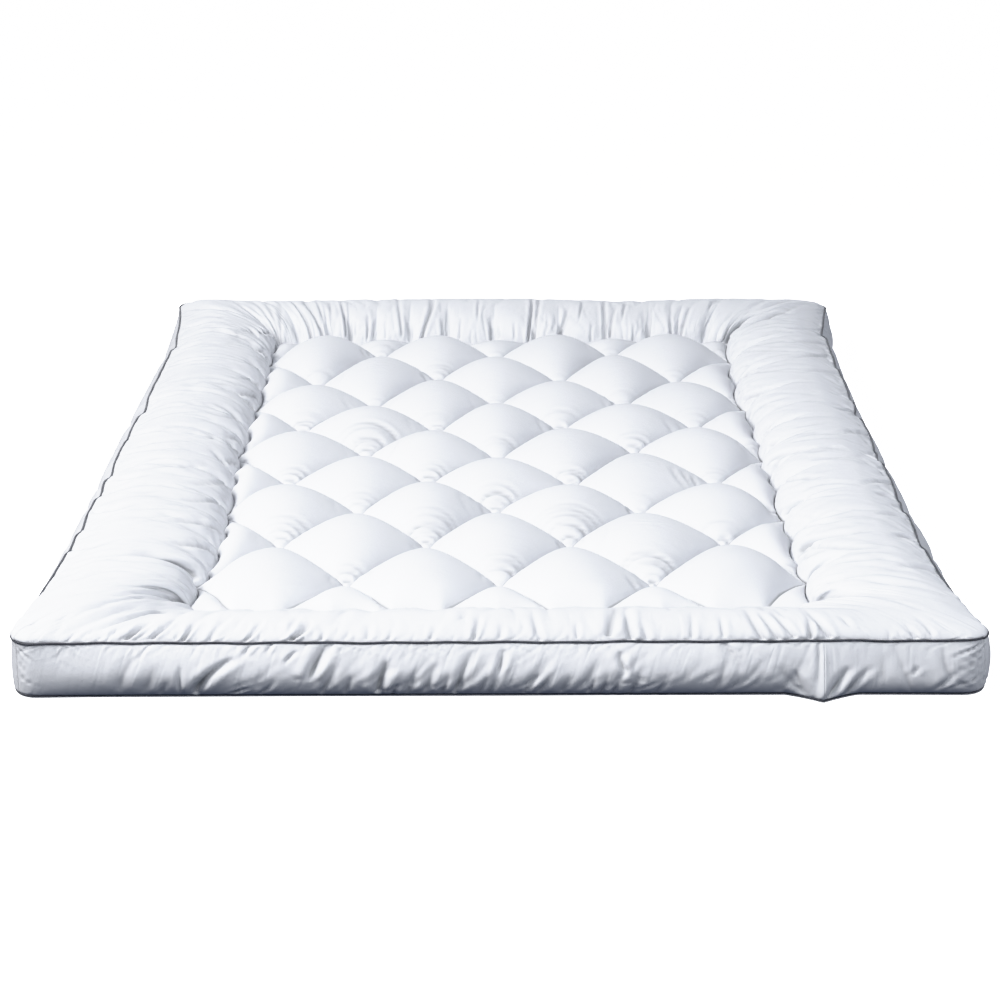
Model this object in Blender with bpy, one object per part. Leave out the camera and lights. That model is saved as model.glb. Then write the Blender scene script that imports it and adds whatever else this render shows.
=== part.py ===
"""Boxed, filled mattress topper with a diamond-quilted middle and a puffed border.

Metres, +Z up. The origin is on the surface it rests on, under the middle of
the topper. X runs across it, Y along it, and the front is at -Y.

A cross-section of the edge is drawn in (o, z): o is the distance outwards from
the edge seam's own plan outline, z the height above the resting surface.
"""

import bisect
import math

import bmesh
import bpy
from mathutils import Vector

# ---------------------------------------------------------------- sizes
HALF_W = 0.7535          # edge seam at the corners, from the middle, across
HALF_L = 1.0125          # edge seam at the corners, from the middle, along
CORNER_R = 0.055         # plan radius of the edge seam's corners
PIPE_R = 0.0019          # piping radius
PIPE_Z = 0.0900          # height of the top edge seam (piping centre)
PIPE_LOW_Z = 0.0045      # height of the bottom edge seam (piping centre)
CLOTH = 0.0020           # thickness of gusset and bottom panel
GAP = 0.0003             # between pieces that are sewn together
STAND_BACK = 0.0090      # the flared fold in front puts the outline this far behind the middle
STAND_LEFT = 0.00025     # and the right side's fuller bulge this far to the left of it

FIELD_X = 0.520          # quilted field, half its width
FIELD_Y = 0.800          # quilted field, half its length
PITCH_X = 0.260          # diamond, point to point, across
PITCH_Y = 0.3432         # diamond, point to point, along
CELLS_PER_HALF_PITCH = 3
CHANNEL_Z = 0.0600       # height of a stitched channel
KNOT_Z = 0.0530          # height where two channels cross
PILLOW_Z = 0.0870        # height of a diamond's middle
SEAM_Z = 0.0540          # height of the seam between field and border
SCALLOP = 0.0055         # the field seam's scallops, in and out

# how far the middle of each side is drawn in by the stuffing
WAIST = {"front": 0.003, "right": 0.040, "back": 0.008, "left": 0.029}

# the border roll: share of the way from the edge seam to the field seam, and height
ROLL = [
    # (share, height)
    (0.00, 0.0912),
    (0.08, 0.1070),
    (0.27, 0.1170),
    (0.50, 0.1150),
    (0.77, 0.0980),
    (1.00, SEAM_Z),
]

# where the gathered edge seam is bitten in: side, place along it, depth, half-width
BITES = [
    # (side, along, depth, half_width)
    ("left", 0.160, 0.007, 0.055),
    ("left", -0.190, 0.006, 0.050),
    ("left", -0.337, 0.008, 0.045),
    ("left", -0.524, 0.006, 0.050),
    ("left", -0.655, 0.005, 0.040),
    ("right", 0.745, 0.006, 0.050),
    ("right", 0.260, 0.007, 0.050),
    ("right", -0.020, 0.009, 0.055),
    ("right", -0.300, 0.006, 0.050),
    ("right", -0.480, 0.012, 0.050),
    ("right", -0.610, 0.011, 0.050),
    ("back", -0.300, 0.004, 0.060),
    ("back", 0.240, 0.005, 0.060),
]

# the gusset's bulge: side, place along it, outward bulge at mid height
BULGE = {
    "front": [(-0.745, 0.004), (-0.60, 0.018), (-0.30, 0.022), (0.20, 0.020),
              (0.44, 0.017), (0.498, 0.008), (0.56, 0.017), (0.68, 0.016), (0.745, 0.004)],
    "right": [(-1.000, 0.004), (-0.85, 0.015), (-0.55, 0.029), (-0.20, 0.022),
              (0.30, 0.019), (0.85, 0.022), (1.000, 0.004)],
    "back": [(-0.745, 0.004), (-0.60, 0.017), (0.00, 0.021), (0.60, 0.018), (0.745, 0.004)],
    "left": [(-1.000, 0.004), (-0.85, 0.016), (-0.25, 0.023), (0.30, 0.024),
             (0.85, 0.018), (1.000, 0.004)],
}

# gusset folds: side, place of the fold at mid height, how far its top end
# stands along the side from its bottom end, depth, half-width
FOLDS = [
    # (side, along, lean, depth, half_width)
    ("front", -0.455, 0.06, 0.0045, 0.030),
    ("front", -0.350, 0.05, 0.0035, 0.030),
    ("front", -0.215, 0.06, 0.0045, 0.030),
    ("front", -0.095, 0.05, 0.0040, 0.030),
    ("front", 0.000, 0.04, 0.0035, 0.030),
    ("front", 0.220, -0.03, 0.0030, 0.030),
    ("front", 0.405, 0.03, 0.0030, 0.030),
    ("right", -0.620, 0.05, 0.0040, 0.040),
    ("right", -0.300, -0.05, 0.0040, 0.040),
    ("right", -0.020, 0.05, 0.0045, 0.040),
    ("right", 0.260, -0.05, 0.0040, 0.040),
    ("right", 0.600, 0.05, 0.0040, 0.040),
    ("back", 0.480, 0.05, 0.0040, 0.035),
    ("back", 0.180, -0.05, 0.0035, 0.035),
    ("back", -0.130, 0.05, 0.0040, 0.035),
    ("back", -0.430, -0.05, 0.0035, 0.035),
    ("left", 0.620, 0.05, 0.0040, 0.040),
    ("left", 0.160, -0.05, 0.0040, 0.040),
    ("left", -0.190, 0.05, 0.0050, 0.040),
    ("left", -0.524, -0.05, 0.0040, 0.040),
]

# the front gusset's joint seam, whose spare cloth flares out along the bottom edge
JOINT_X = 0.498
FLARE_REACH = 0.030
FLARE_LEFT = 0.057
FLARE_RIGHT = 0.059

# deep pleats of the border: start and end in plan, depth, half-width
PLEATS = [
    # (x0, y0, x1, y1, depth, half_width)
    (0.530, 0.810, 0.735, 0.985, 0.012, 0.030),
    (-0.530, 0.810, -0.640, 0.960, 0.006, 0.028),
    (-0.530, -0.810, -0.690, -0.930, 0.006, 0.030),
    (0.530, -0.810, 0.690, -0.930, 0.006, 0.030),
    (-0.530, -0.560, -0.690, -0.500, 0.007, 0.030),
    (-0.530, -0.120, -0.660, -0.060, 0.005, 0.028),
    (-0.530, 0.330, -0.640, 0.370, 0.005, 0.028),
    (0.530, 0.240, 0.690, 0.270, 0.006, 0.030),
    (0.530, -0.330, 0.680, -0.300, 0.006, 0.030),
    (0.500, -0.815, 0.498, -0.985, 0.006, 0.026),
    (-0.330, -0.815, -0.290, -0.960, 0.005, 0.026),
    (-0.260, 0.815, -0.300, 0.960, 0.006, 0.028),
    (0.180, 0.815, 0.210, 0.960, 0.006, 0.028),
]

COLOURS = {
    # name: (red, green, blue, roughness)
    "white_cloth": (0.90, 0.905, 0.92, 0.75),
    "gusset_cloth": (0.88, 0.885, 0.90, 0.70),
    "base_cloth": (0.86, 0.865, 0.88, 0.80),
    "dark_piping": (0.045, 0.050, 0.070, 0.65),
}

SIDES = ("front", "right", "back", "left")
# each side's outward direction, and the direction in which "along" grows
FACING = {"front": (0, -1), "right": (1, 0), "back": (0, 1), "left": (-1, 0)}
ALONG = {"front": (1, 0), "right": (0, 1), "back": (1, 0), "left": (0, 1)}


# ---------------------------------------------------------------- helpers
def table_value(rows, key):
    """Straight-line value from a table of (key, value) rows."""
    keys = [row[0] for row in rows]
    if key <= keys[0]:
        return rows[0][1]
    if key >= keys[-1]:
        return rows[-1][1]
    i = bisect.bisect_right(keys, key)
    (k0, v0), (k1, v1) = rows[i - 1], rows[i]
    return v0 + (v1 - v0) * (key - k0) / (k1 - k0)


def bell(distance, half_width):
    return math.exp(-((distance / half_width) ** 2) * 1.6)


def side_half(side):
    """Half of a side's straight run, and its distance from the middle."""
    if side in ("front", "back"):
        return HALF_W - CORNER_R, HALF_L
    return HALF_L - CORNER_R, HALF_W


def seam_frame(side, along):
    """Point of the edge seam in plan and its outward normal."""
    straight, out = side_half(side)
    over = max(0.0, abs(along) - straight)
    turn = over / CORNER_R
    sign = 1.0 if along >= 0 else -1.0
    a = along if over == 0 else sign * (straight + CORNER_R * math.sin(turn))
    b = out - CORNER_R * (1 - math.cos(turn))
    face, run = Vector(FACING[side]), Vector(ALONG[side])
    normal = face * math.cos(turn) + run * (sign * math.sin(turn))
    share = min(1.0, abs(along) / straight)
    inward = WAIST[side] * (1 - share ** 6)
    for where, place, depth, half in BITES:
        if where == side:
            inward += depth * bell(along - place, half) * (1 - share ** 8)
    return run * a + face * b - normal * inward, normal


def flare(side, along):
    """How far the bottom edge stands forward at the joint seam."""
    if side != "front":
        return 0.0
    d = along - JOINT_X
    reach = FLARE_LEFT if d < 0 else FLARE_RIGHT
    return FLARE_REACH * max(0.0, 1 - abs(d) / reach) ** 1.25


def gusset_profile(side, along):
    """The gusset's outer line in (o, z), from its bottom edge to its top edge."""
    low_z = PIPE_LOW_Z + PIPE_R + GAP
    high_z = PIPE_Z - PIPE_R - GAP
    bulge = table_value(BULGE[side], along)
    out_low = flare(side, along)
    points = []
    for share in (0.0, 0.30, 0.68, 1.0):
        z = low_z + (high_z - low_z) * share
        o = 0.0005 + out_low * (1 - share)
        o += bulge * (4 * share * (1 - share)) ** 0.8
        for where, place, lean, depth, half in FOLDS:
            if where == side and 0 < share < 1:
                o -= depth * bell(along - place - lean * (share - 0.5), half)
        points.append((o, z))
    return points


def inset(points, distance):
    """A line of (o, z) points moved inwards by a distance, square to itself."""
    moved = []
    for i, (o, z) in enumerate(points):
        directions = []
        if i > 0:
            directions.append(Vector((o - points[i - 1][0], z - points[i - 1][1])).normalized())
        if i < len(points) - 1:
            directions.append(Vector((points[i + 1][0] - o, points[i + 1][1] - z)).normalized())
        mean = sum(directions, Vector((0, 0))).normalized()
        square = Vector((-mean.y, mean.x))
        stretch = 1 / max(0.5, mean.dot(directions[0]))
        if i in (0, len(points) - 1):
            # the two ends stay level, so the edges are flat under the piping
            square, stretch = Vector((-1, 0)), 1 / max(0.5, abs(mean.y))
        moved.append((o + square.x * distance * stretch, z + square.y * distance * stretch))
    return moved


def place(side, along, o, z):
    point, normal = seam_frame(side, along)
    return Vector((point.x + normal.x * o, point.y + normal.y * o, z))


# ---------------------------------------------------------------- stations
def corner_end(side):
    straight, _ = side_half(side)
    return straight + CORNER_R * math.pi / 4


def border_run(side, start):
    """Stations from the field's corner to the middle of the rounded corner."""
    straight, _ = side_half(side)
    end = corner_end(side)
    return [start + (straight - 0.012 - start) * k / 3 for k in (1, 2, 3)] + [
        (straight - 0.012 + end) / 2 + 0.004, end]


def side_stations(side, inner):
    """Places along a side, one for each grid line that meets it."""
    right = border_run(side, inner[-1])
    left = [-a for a in reversed(border_run(side, -inner[0]))]
    places = left + list(inner) + right
    if side == "front":
        # the grid lines near the joint seam gather on the flare
        shifts = [(0.30, 0.0), (0.39, 0.014), (0.4334, 0.017), (0.4767, JOINT_X - 0.4767),
                  (0.52, 0.010), (0.575, 0.0)]
        places = [a + (table_value(shifts, a) if a > 0.30 else 0.0) for a in places]
    return places


def grid_lines():
    """The field's grid lines: the stitched channels run corner to corner of its cells."""
    step_x = PITCH_X / 2 / CELLS_PER_HALF_PITCH
    count_x = round(FIELD_X / step_x)
    xs = [step_x * i for i in range(-count_x, count_x + 1)]
    step_y = PITCH_Y / 2 / CELLS_PER_HALF_PITCH
    count_y = 4 * CELLS_PER_HALF_PITCH
    ys = [step_y * i for i in range(-count_y, count_y + 1)]
    rest = (FIELD_Y - ys[-1]) / 2
    ys = [-FIELD_Y, -FIELD_Y + rest] + ys + [FIELD_Y - rest, FIELD_Y]
    return xs, ys


# ---------------------------------------------------------------- heights
def pillow(x, y):
    """Height of the quilted field: plump diamonds between stitched channels."""
    p = x / PITCH_X + y / PITCH_Y
    q = x / PITCH_X - y / PITCH_Y
    across = abs(math.sin(math.pi * p))
    along = abs(math.sin(math.pi * q))
    plump = (across * along) ** 0.55
    knot = bell(math.hypot(across, along), 0.45)
    column, row = math.floor(p), math.floor(q)
    uneven = 0.0022 * math.sin(2.3 * column + 4.1 * row) + 0.0012 * math.sin(5.7 * column - 1.9 * row)
    edge = min(FIELD_X - abs(x), FIELD_Y - abs(y))
    rise = min(1.0, max(0.0, edge) / 0.075) ** 0.6
    low = CHANNEL_Z - (CHANNEL_Z - KNOT_Z) * knot
    z = low + (PILLOW_Z - CHANNEL_Z + uneven) * plump
    return SEAM_Z + (z - SEAM_Z) * rise


def pleat_depth(x, y):
    total = 0.0
    for x0, y0, x1, y1, depth, half in PLEATS:
        a, b, p = Vector((x0, y0)), Vector((x1, y1)), Vector((x, y))
        along = (b - a)
        t = max(0.0, min(1.0, (p - a).dot(along) / along.length_squared))
        total = max(total, depth * bell((p - a - along * t).length, half))
    return total


def roll_height(share_x, share_y, x, y, parity):
    """Height of the border, share 0 at the edge seam and 1 at the field seam."""
    share = min(share_x, share_y)
    if share_x < 1 and share_y < 1:
        # rounded over at the corners
        share = max(0.0, share - 0.06 * bell(share_x - share_y, 0.25) * share * (1 - share) * 4)
    z = table_value(ROLL, share)
    if 0 < share < 1:
        z += 0.0022 * parity * (0.4 + share) * (1 - share) * 2
        z -= pleat_depth(x, y) * min(1.0, 4 * share * (1 - share) + 0.25)
    return z


# ---------------------------------------------------------------- making
def material(name):
    mat = bpy.data.materials.new(name)
    mat.use_nodes = True
    red, green, blue, rough = COLOURS[name]
    shader = mat.node_tree.nodes["Principled BSDF"]
    shader.inputs["Base Color"].default_value = (red, green, blue, 1)
    shader.inputs["Roughness"].default_value = rough
    shader.inputs["Metallic"].default_value = 0
    return mat


def add_object(name, data, collection, mat):
    obj = bpy.data.objects.new(name, data)
    data.materials.append(mat)
    collection.objects.link(obj)
    obj.parent = bpy.data.objects["topper_middle"]
    return obj


def border_shares():
    return [row[0] for row in ROLL]


def make_pad(collection, mat, stations):
    """The filled top: a grid shaped to field and roll, its sides drawn in below."""
    xs, ys = grid_lines()
    shares = border_shares()
    rim = len(shares) - 1
    columns, rows = len(xs) + 2 * rim, len(ys) + 2 * rim
    bm = bmesh.new()
    bmesh.ops.create_grid(bm, x_segments=columns - 1, y_segments=rows - 1, size=1.0)
    bm.verts.ensure_lookup_table()

    def index_of(v, count, value):
        return int(round((value + 1) / 2 * (count - 1)))

    def rim_share(i, count):
        if i < rim:
            return shares[i]
        if i > count - 1 - rim:
            return shares[count - 1 - i]
        return 1.0

    def inner(i, lines):
        return lines[max(0, min(len(lines) - 1, i - rim))]

    def edge_point(side, k):
        o = -(PIPE_R + GAP + 0.0004)
        return place(side, stations[side][k], o, ROLL[0][1])

    grid = {}
    for v in bm.verts:
        i, j = index_of(v, columns, v.co.x), index_of(v, rows, v.co.y)
        grid[i, j] = v
    for (i, j), v in grid.items():
        sx, sy = rim_share(i, columns), rim_share(j, rows)
        x, y = inner(i, xs), inner(j, ys)
        side_x = "left" if i < rim else "right"
        side_y = "front" if j < rim else "back"
        base = Vector((x, y, 0))
        on_seam = False
        if sx == 1 and sy == 1:
            at_x = i in (rim, columns - 1 - rim)
            at_y = j in (rim, rows - 1 - rim)
            on_seam = at_x or at_y
            if at_x and not at_y:
                base.x += math.copysign(SCALLOP * (1 if j % 2 else -1), x)
            if at_y and not at_x:
                base.y += math.copysign(SCALLOP * (1 if i % 2 else -1), y)
            z = SEAM_Z if on_seam else pillow(x, y)
            v.co = (base.x, base.y, z)
            continue
        parity = 1 if (j if sx < sy else i) % 2 else -1
        if sy == 1:
            point = edge_point(side_x, j).lerp(base, sx)
        elif sx == 1:
            point = edge_point(side_y, i).lerp(base, sy)
        else:
            # corner patch, blended from its four edges
            i_seam = rim if i < rim else columns - 1 - rim
            j_seam = rim if j < rim else rows - 1 - rim
            i_out = 0 if i < rim else columns - 1
            j_out = 0 if j < rim else rows - 1
            inner_corner = Vector((inner(i_seam, xs), inner(j_seam, ys), 0))
            out_corner = edge_point(side_y, i_out)
            from_x = edge_point(side_x, j_seam)
            from_y = edge_point(side_y, i_seam)
            edge_low = edge_point(side_y, i)
            edge_side = edge_point(side_x, j)
            line_y = from_y.lerp(inner_corner, sy)
            line_x = from_x.lerp(inner_corner, sx)
            ruled_a = edge_low.lerp(line_x, sy)
            ruled_b = edge_side.lerp(line_y, sx)
            flat = out_corner.lerp(from_x, sy).lerp(from_y.lerp(inner_corner, sy), sx)
            point = ruled_a + ruled_b - flat
            parity = 0
        v.co = (point.x, point.y, roll_height(sx, sy, point.x, point.y, parity))

    # the sides: rings let down from the grid's edge, behind piping and gusset
    ring = ring_of(stations)
    rim_index = []
    for side, along in ring:
        k = stations[side].index(along)
        rim_index.append({"front": (k, 0), "right": (columns - 1, k),
                          "back": (k, rows - 1), "left": (0, k)}[side])
    previous = [grid[key] for key in rim_index]
    for level in range(5):
        current = []
        for side, along in ring:
            line = inset(gusset_profile(side, along), CLOTH + GAP)
            if level < 4:
                o, z = line[3 - level]
                if level == 0:
                    o, z = min(o, -(PIPE_R + GAP + 0.0004)), PIPE_Z - PIPE_R - GAP
            else:
                o, z = line[0][0], CLOTH + GAP
            if level == 3:
                z = PIPE_LOW_Z + PIPE_R + GAP
            if level >= 3:
                o = flare(side, along) - (PIPE_R + GAP + 0.0004)
            current.append(bm.verts.new(place(side, along, o, z)))
        for k, (side, _) in enumerate(ring):
            n = (k + 1) % len(ring)
            a, b = (k, n) if side in ("front", "right") else (n, k)
            halves(bm, current[a], current[b], previous[b], previous[a])
        previous = current
    bm.faces.new(list(reversed(previous)))
    bmesh.ops.recalc_face_normals(bm, faces=bm.faces)
    # each cell is cut along the stitched channel that crosses it
    for face in list(bm.faces):
        if len(face.verts) != 4:
            continue
        middle = face.calc_center_median()
        if abs(middle.x) < FIELD_X and abs(middle.y) < FIELD_Y:
            first, second = [(face.verts[0], face.verts[2]), (face.verts[1], face.verts[3])]
            low = first if on_channel(first) else second
            bmesh.utils.face_split(face, low[0], low[1])
    return finish(bm, "filled_pad", collection, mat)


def on_channel(pair):
    """Whether both of two grid points stand on the same stitched channel."""
    a, b = pair[0].co, pair[1].co
    if max(abs(a.x), abs(b.x)) > FIELD_X - 0.012:
        return False
    for slope in (1, -1):
        places = [v.x / PITCH_X + slope * v.y / PITCH_Y for v in (a, b)]
        if (all(abs(c - round(c)) < 0.02 for c in places)
                and round(places[0]) == round(places[1])):
            return True
    return False


def ring_of(stations):
    """All the stations once, counter-clockwise from above, starting at front-left."""
    ring = [("front", a) for a in stations["front"][:-1]]
    ring += [("right", a) for a in stations["right"][:-1]]
    ring += [("back", a) for a in reversed(stations["back"][1:])]
    ring += [("left", a) for a in reversed(stations["left"][1:])]
    return ring


def finish(bm, name, collection, mat):
    bmesh.ops.recalc_face_normals(bm, faces=bm.faces)
    mesh = bpy.data.meshes.new(name)
    bm.to_mesh(mesh)
    bm.free()
    mesh.shade_smooth()
    mesh.set_sharp_from_angle(angle=math.radians(50))
    return add_object(name, mesh, collection, mat)


def halves(bm, a_low, b_low, b_high, a_high):
    """A four-cornered face cut the same way on every layer, so layers stay parallel."""
    bm.faces.new((a_low, b_low, b_high))
    bm.faces.new((a_low, b_high, a_high))


def make_strip(name, side, places, collection, mat):
    """A gusset strip: outer and inner lines lofted along the side, its ends closed."""
    places = list(places)
    places[0] += GAP / 2
    places[-1] -= GAP / 2
    bm = bmesh.new()
    sections = []
    for along in places:
        outer = gusset_profile(side, along)
        line = outer + list(reversed(inset(outer, CLOTH)))
        sections.append([bm.verts.new(place(side, along, o, z)) for o, z in line])
    last = len(sections[0]) // 2 - 1
    for a, b in zip(sections[:-1], sections[1:]):
        for k in range(len(a)):
            n = (k + 1) % len(a)
            low, high = (k, n) if k <= last else (n, k)
            halves(bm, a[low], b[low], b[high], a[high])
    bm.faces.new(sections[0])
    bm.faces.new(list(reversed(sections[-1])))
    return finish(bm, name, collection, mat)


def make_piping(name, z, outward, stations, collection, mat):
    """Piping: one round closed cord along the edge seam."""
    curve = bpy.data.curves.new(name, "CURVE")
    curve.dimensions = "3D"
    curve.bevel_depth = PIPE_R
    curve.bevel_resolution = 1
    ring = ring_of(stations)
    spline = curve.splines.new("POLY")
    spline.points.add(len(ring) - 1)
    for point, (side, along) in zip(spline.points, ring):
        point.co = (*place(side, along, outward(side, along), z), 1)
    spline.use_cyclic_u = True
    spline.use_smooth = True
    return add_object(name, curve, collection, mat)


def make_base(name, stations, collection, mat):
    """The bottom panel: a flat outline as thick as its cloth."""
    curve = bpy.data.curves.new(name, "CURVE")
    curve.dimensions = "2D"
    curve.fill_mode = "BOTH"
    curve.extrude = CLOTH / 2
    ring = [(side, along) for k, (side, along) in enumerate(ring_of(stations))
            if k % 3 == 0 or flare(side, along) > 0]
    spline = curve.splines.new("POLY")
    spline.points.add(len(ring) - 1)
    for point, (side, along) in zip(spline.points, ring):
        spot = place(side, along, flare(side, along) + 0.0004, 0)
        point.co = (spot.x, spot.y, 0, 1)
    spline.use_cyclic_u = True
    obj = add_object(name, curve, collection, mat)
    obj.location.z = CLOTH / 2
    return obj


def main():
    for obj in list(bpy.data.objects):
        bpy.data.objects.remove(obj, do_unlink=True)
    collection = bpy.data.collections.new("mattress_topper")
    bpy.context.scene.collection.children.link(collection)
    middle = bpy.data.objects.new("topper_middle", None)
    middle.location = (-STAND_LEFT, STAND_BACK, 0)
    collection.objects.link(middle)
    mats = {name: material(name) for name in COLOURS}

    xs, ys = grid_lines()
    stations = {side: side_stations(side, xs if side in ("front", "back") else ys)
                for side in SIDES}

    front = stations["front"]
    joint = min(range(len(front)), key=lambda k: abs(front[k] - JOINT_X))
    front[joint] = JOINT_X

    make_pad(collection, mats["white_cloth"], stations)
    cloth = mats["gusset_cloth"]
    make_strip("gusset_front_long", "front", front[:joint + 1], collection, cloth)
    make_strip("gusset_front_short", "front", front[joint:], collection, cloth)
    for side in ("right", "back", "left"):
        make_strip("gusset_" + side, side, stations[side], collection, cloth)

    make_base("base_panel", stations, collection, mats["base_cloth"])
    make_piping("piping_top", PIPE_Z, lambda side, along: 0.0, stations,
                collection, mats["dark_piping"])
    make_piping("piping_bottom", PIPE_LOW_Z, flare, stations,
                collection, mats["dark_piping"])


main()
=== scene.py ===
"""Looks of the quilted, boxed mattress topper: cloth relaxed over its fill, seams, piping, finish."""
import math

import bpy
import numpy as np
from mathutils import Matrix, Vector


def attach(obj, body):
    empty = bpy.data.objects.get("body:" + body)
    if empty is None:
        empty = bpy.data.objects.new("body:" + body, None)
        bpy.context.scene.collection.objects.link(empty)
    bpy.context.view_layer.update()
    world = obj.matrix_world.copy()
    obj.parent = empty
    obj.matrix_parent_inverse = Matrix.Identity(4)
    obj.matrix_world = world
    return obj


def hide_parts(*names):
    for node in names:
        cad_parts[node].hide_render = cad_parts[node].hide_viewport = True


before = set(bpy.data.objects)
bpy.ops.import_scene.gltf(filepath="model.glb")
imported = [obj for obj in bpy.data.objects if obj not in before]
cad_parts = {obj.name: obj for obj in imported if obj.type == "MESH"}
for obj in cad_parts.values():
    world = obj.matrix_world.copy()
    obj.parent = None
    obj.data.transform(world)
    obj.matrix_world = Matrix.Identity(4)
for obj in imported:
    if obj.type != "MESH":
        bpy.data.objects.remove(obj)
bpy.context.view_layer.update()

RNG = np.random.default_rng(20)

# ------------------------------------------------------------------ sizes (metres)
HALF_W, HALF_L = 0.7535, 1.0125      # edge seam from the middle, at the corners
CORNER_R = 0.038
CORNER_IN = 0.008                    # how far the front left corner stands in
PIPE_R = 0.0014
CORD_R = 0.0018                      # the upper cord, plumped by its filling
PIPE_Z, PIPE_LOW_Z = 0.0900, 0.0040
SHIFT = np.array([-0.00025, 0.0090, 0.0])   # the outline's middle in the frame
FIELD_X, FIELD_Y = 0.520, 0.800      # quilted field, half width and half length
INNER_R = 0.022                      # its corners
HALF_PITCH_X, HALF_PITCH_Y = 0.1300, 0.1716
JOINT_X = 0.498                      # seam that joins the two front gusset strips

SIDES = ("front", "right", "back", "left")
FACING = {"front": (0, -1), "right": (1, 0), "back": (0, 1), "left": (-1, 0)}
ALONG = {"front": (1, 0), "right": (0, 1), "back": (1, 0), "left": (0, 1)}
WAIST = {"front": 0.003, "right": 0.038, "back": 0.008, "left": 0.029}

# the gathered edge seam's bites: side, place along it, depth, half-width;
# the seam runs in slowly behind each bite and jumps out again in front of it
BITES = [
    ("left", 0.657, 0.008, 0.050), ("left", 0.176, 0.009, 0.060),
    ("left", -0.002, 0.003, 0.030), ("left", -0.225, 0.007, 0.050),
    ("left", -0.335, 0.007, 0.040), ("left", -0.515, 0.006, 0.040),
    ("left", -0.613, 0.004, 0.035), ("right", 0.735, 0.009, 0.055),
    ("right", 0.475, 0.004, 0.040), ("right", 0.245, 0.005, 0.040),
    ("right", 0.128, 0.010, 0.040), ("right", -0.090, 0.004, 0.035),
    ("right", -0.150, 0.008, 0.035), ("right", -0.365, 0.004, 0.040),
    ("right", -0.430, 0.006, 0.035), ("right", -0.605, 0.006, 0.045),
    ("back", -0.300, 0.004, 0.060), ("back", 0.240, 0.005, 0.060),
]
# outward bulge of the gusset at mid height: place along the side, bulge
BULGE = {
    "front": [(-0.745, 0.001), (-0.70, 0.010), (-0.60, 0.020), (-0.30, 0.023), (0.20, 0.022),
              (0.42, 0.018), (0.498, 0.008), (0.56, 0.018), (0.68, 0.018), (0.745, 0.006)],
    "right": [(-1.000, 0.006), (-0.85, 0.016), (-0.55, 0.029), (-0.20, 0.023),
              (0.30, 0.020), (0.85, 0.022), (1.000, 0.006)],
    "back": [(-0.745, 0.006), (-0.60, 0.018), (0.00, 0.022), (0.60, 0.019), (0.745, 0.006)],
    "left": [(-1.000, 0.001), (-0.85, 0.014), (-0.25, 0.024), (0.30, 0.025),
             (0.85, 0.019), (1.000, 0.006)],
}
FLARE_REACH, FLARE_LEFT, FLARE_RIGHT = 0.030, 0.057, 0.059

# section of the border roll from the edge seam to the field seam
ROLL = [
    # (cloth share, plan share, plan share where puffed, height, height at the front)
    (0.00, 0.000, 0.000, 0.0900, 0.0906), (0.04, 0.036, -0.012, 0.0936, 0.0958),
    (0.10, 0.095, 0.012, 0.1005, 0.1030), (0.20, 0.190, 0.105, 0.1085, 0.1095),
    (0.34, 0.325, 0.265, 0.1165, 0.1110), (0.48, 0.470, 0.440, 0.1180, 0.1025),
    (0.62, 0.620, 0.605, 0.1140, 0.0890), (0.75, 0.760, 0.752, 0.1055, 0.0760),
    (0.86, 0.870, 0.868, 0.0925, 0.0650), (0.94, 0.948, 0.946, 0.0750, 0.0565),
    (1.00, 1.000, 1.000, 0.0490, 0.0490),
]
# how much higher the roll's crown and the edge seam stand in places: place along the side, rise
LIFT = {
    "front": [(-0.76, 0.003), (0.0, 0.0), (0.76, 0.001)],
    "right": [(-1.01, 0.001), (0.0, 0.0), (0.80, 0.0), (1.01, 0.003)],
    "back": [(-0.76, 0.009), (-0.50, 0.007), (0.0, 0.006), (0.50, 0.003), (0.76, 0.003)],
    "left": [(-1.01, 0.003), (-0.5, 0.0), (0.60, 0.002), (1.01, 0.009)],
}
SEAM_RISE = {
    "front": [(-0.76, 0.001), (0.0, 0.0), (0.76, 0.0015)],
    "right": [(-1.01, 0.0015), (-0.9, 0.0), (1.01, 0.0)],
    "back": [(-0.76, 0.011), (-0.60, 0.001), (0.0, 0.0), (0.76, 0.0)],
    "left": [(-1.01, 0.001), (-0.9, 0.0), (0.80, 0.0), (1.01, 0.011)],
}
# how far the lower seam lies outside the upper one
LEAN = {"front": 0.000, "right": 0.006, "back": 0.000, "left": 0.020}
FRONT_FADE = 0.16                    # the front's lower section fades in over this length
# how far the roll puffs out over its edge seam: place along the side, share
PUFF = {
    "front": [(-0.76, 1.0), (-0.60, 0.5), (0.0, 0.4), (0.60, 0.5), (0.76, 1.0)],
    "right": [(-1.01, 1.0), (-0.86, 1.0), (-0.76, 0.0), (0.70, 0.0), (0.90, 0.3), (1.01, 0.6)],
    "back": [(-0.76, 0.0), (-0.60, 0.4), (0.0, 0.5), (0.60, 0.5), (0.76, 0.6)],
    "left": [(-1.01, 1.0), (-0.88, 1.0), (-0.76, 0.0), (0.80, 0.0), (1.01, 0.0)],
}

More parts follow.
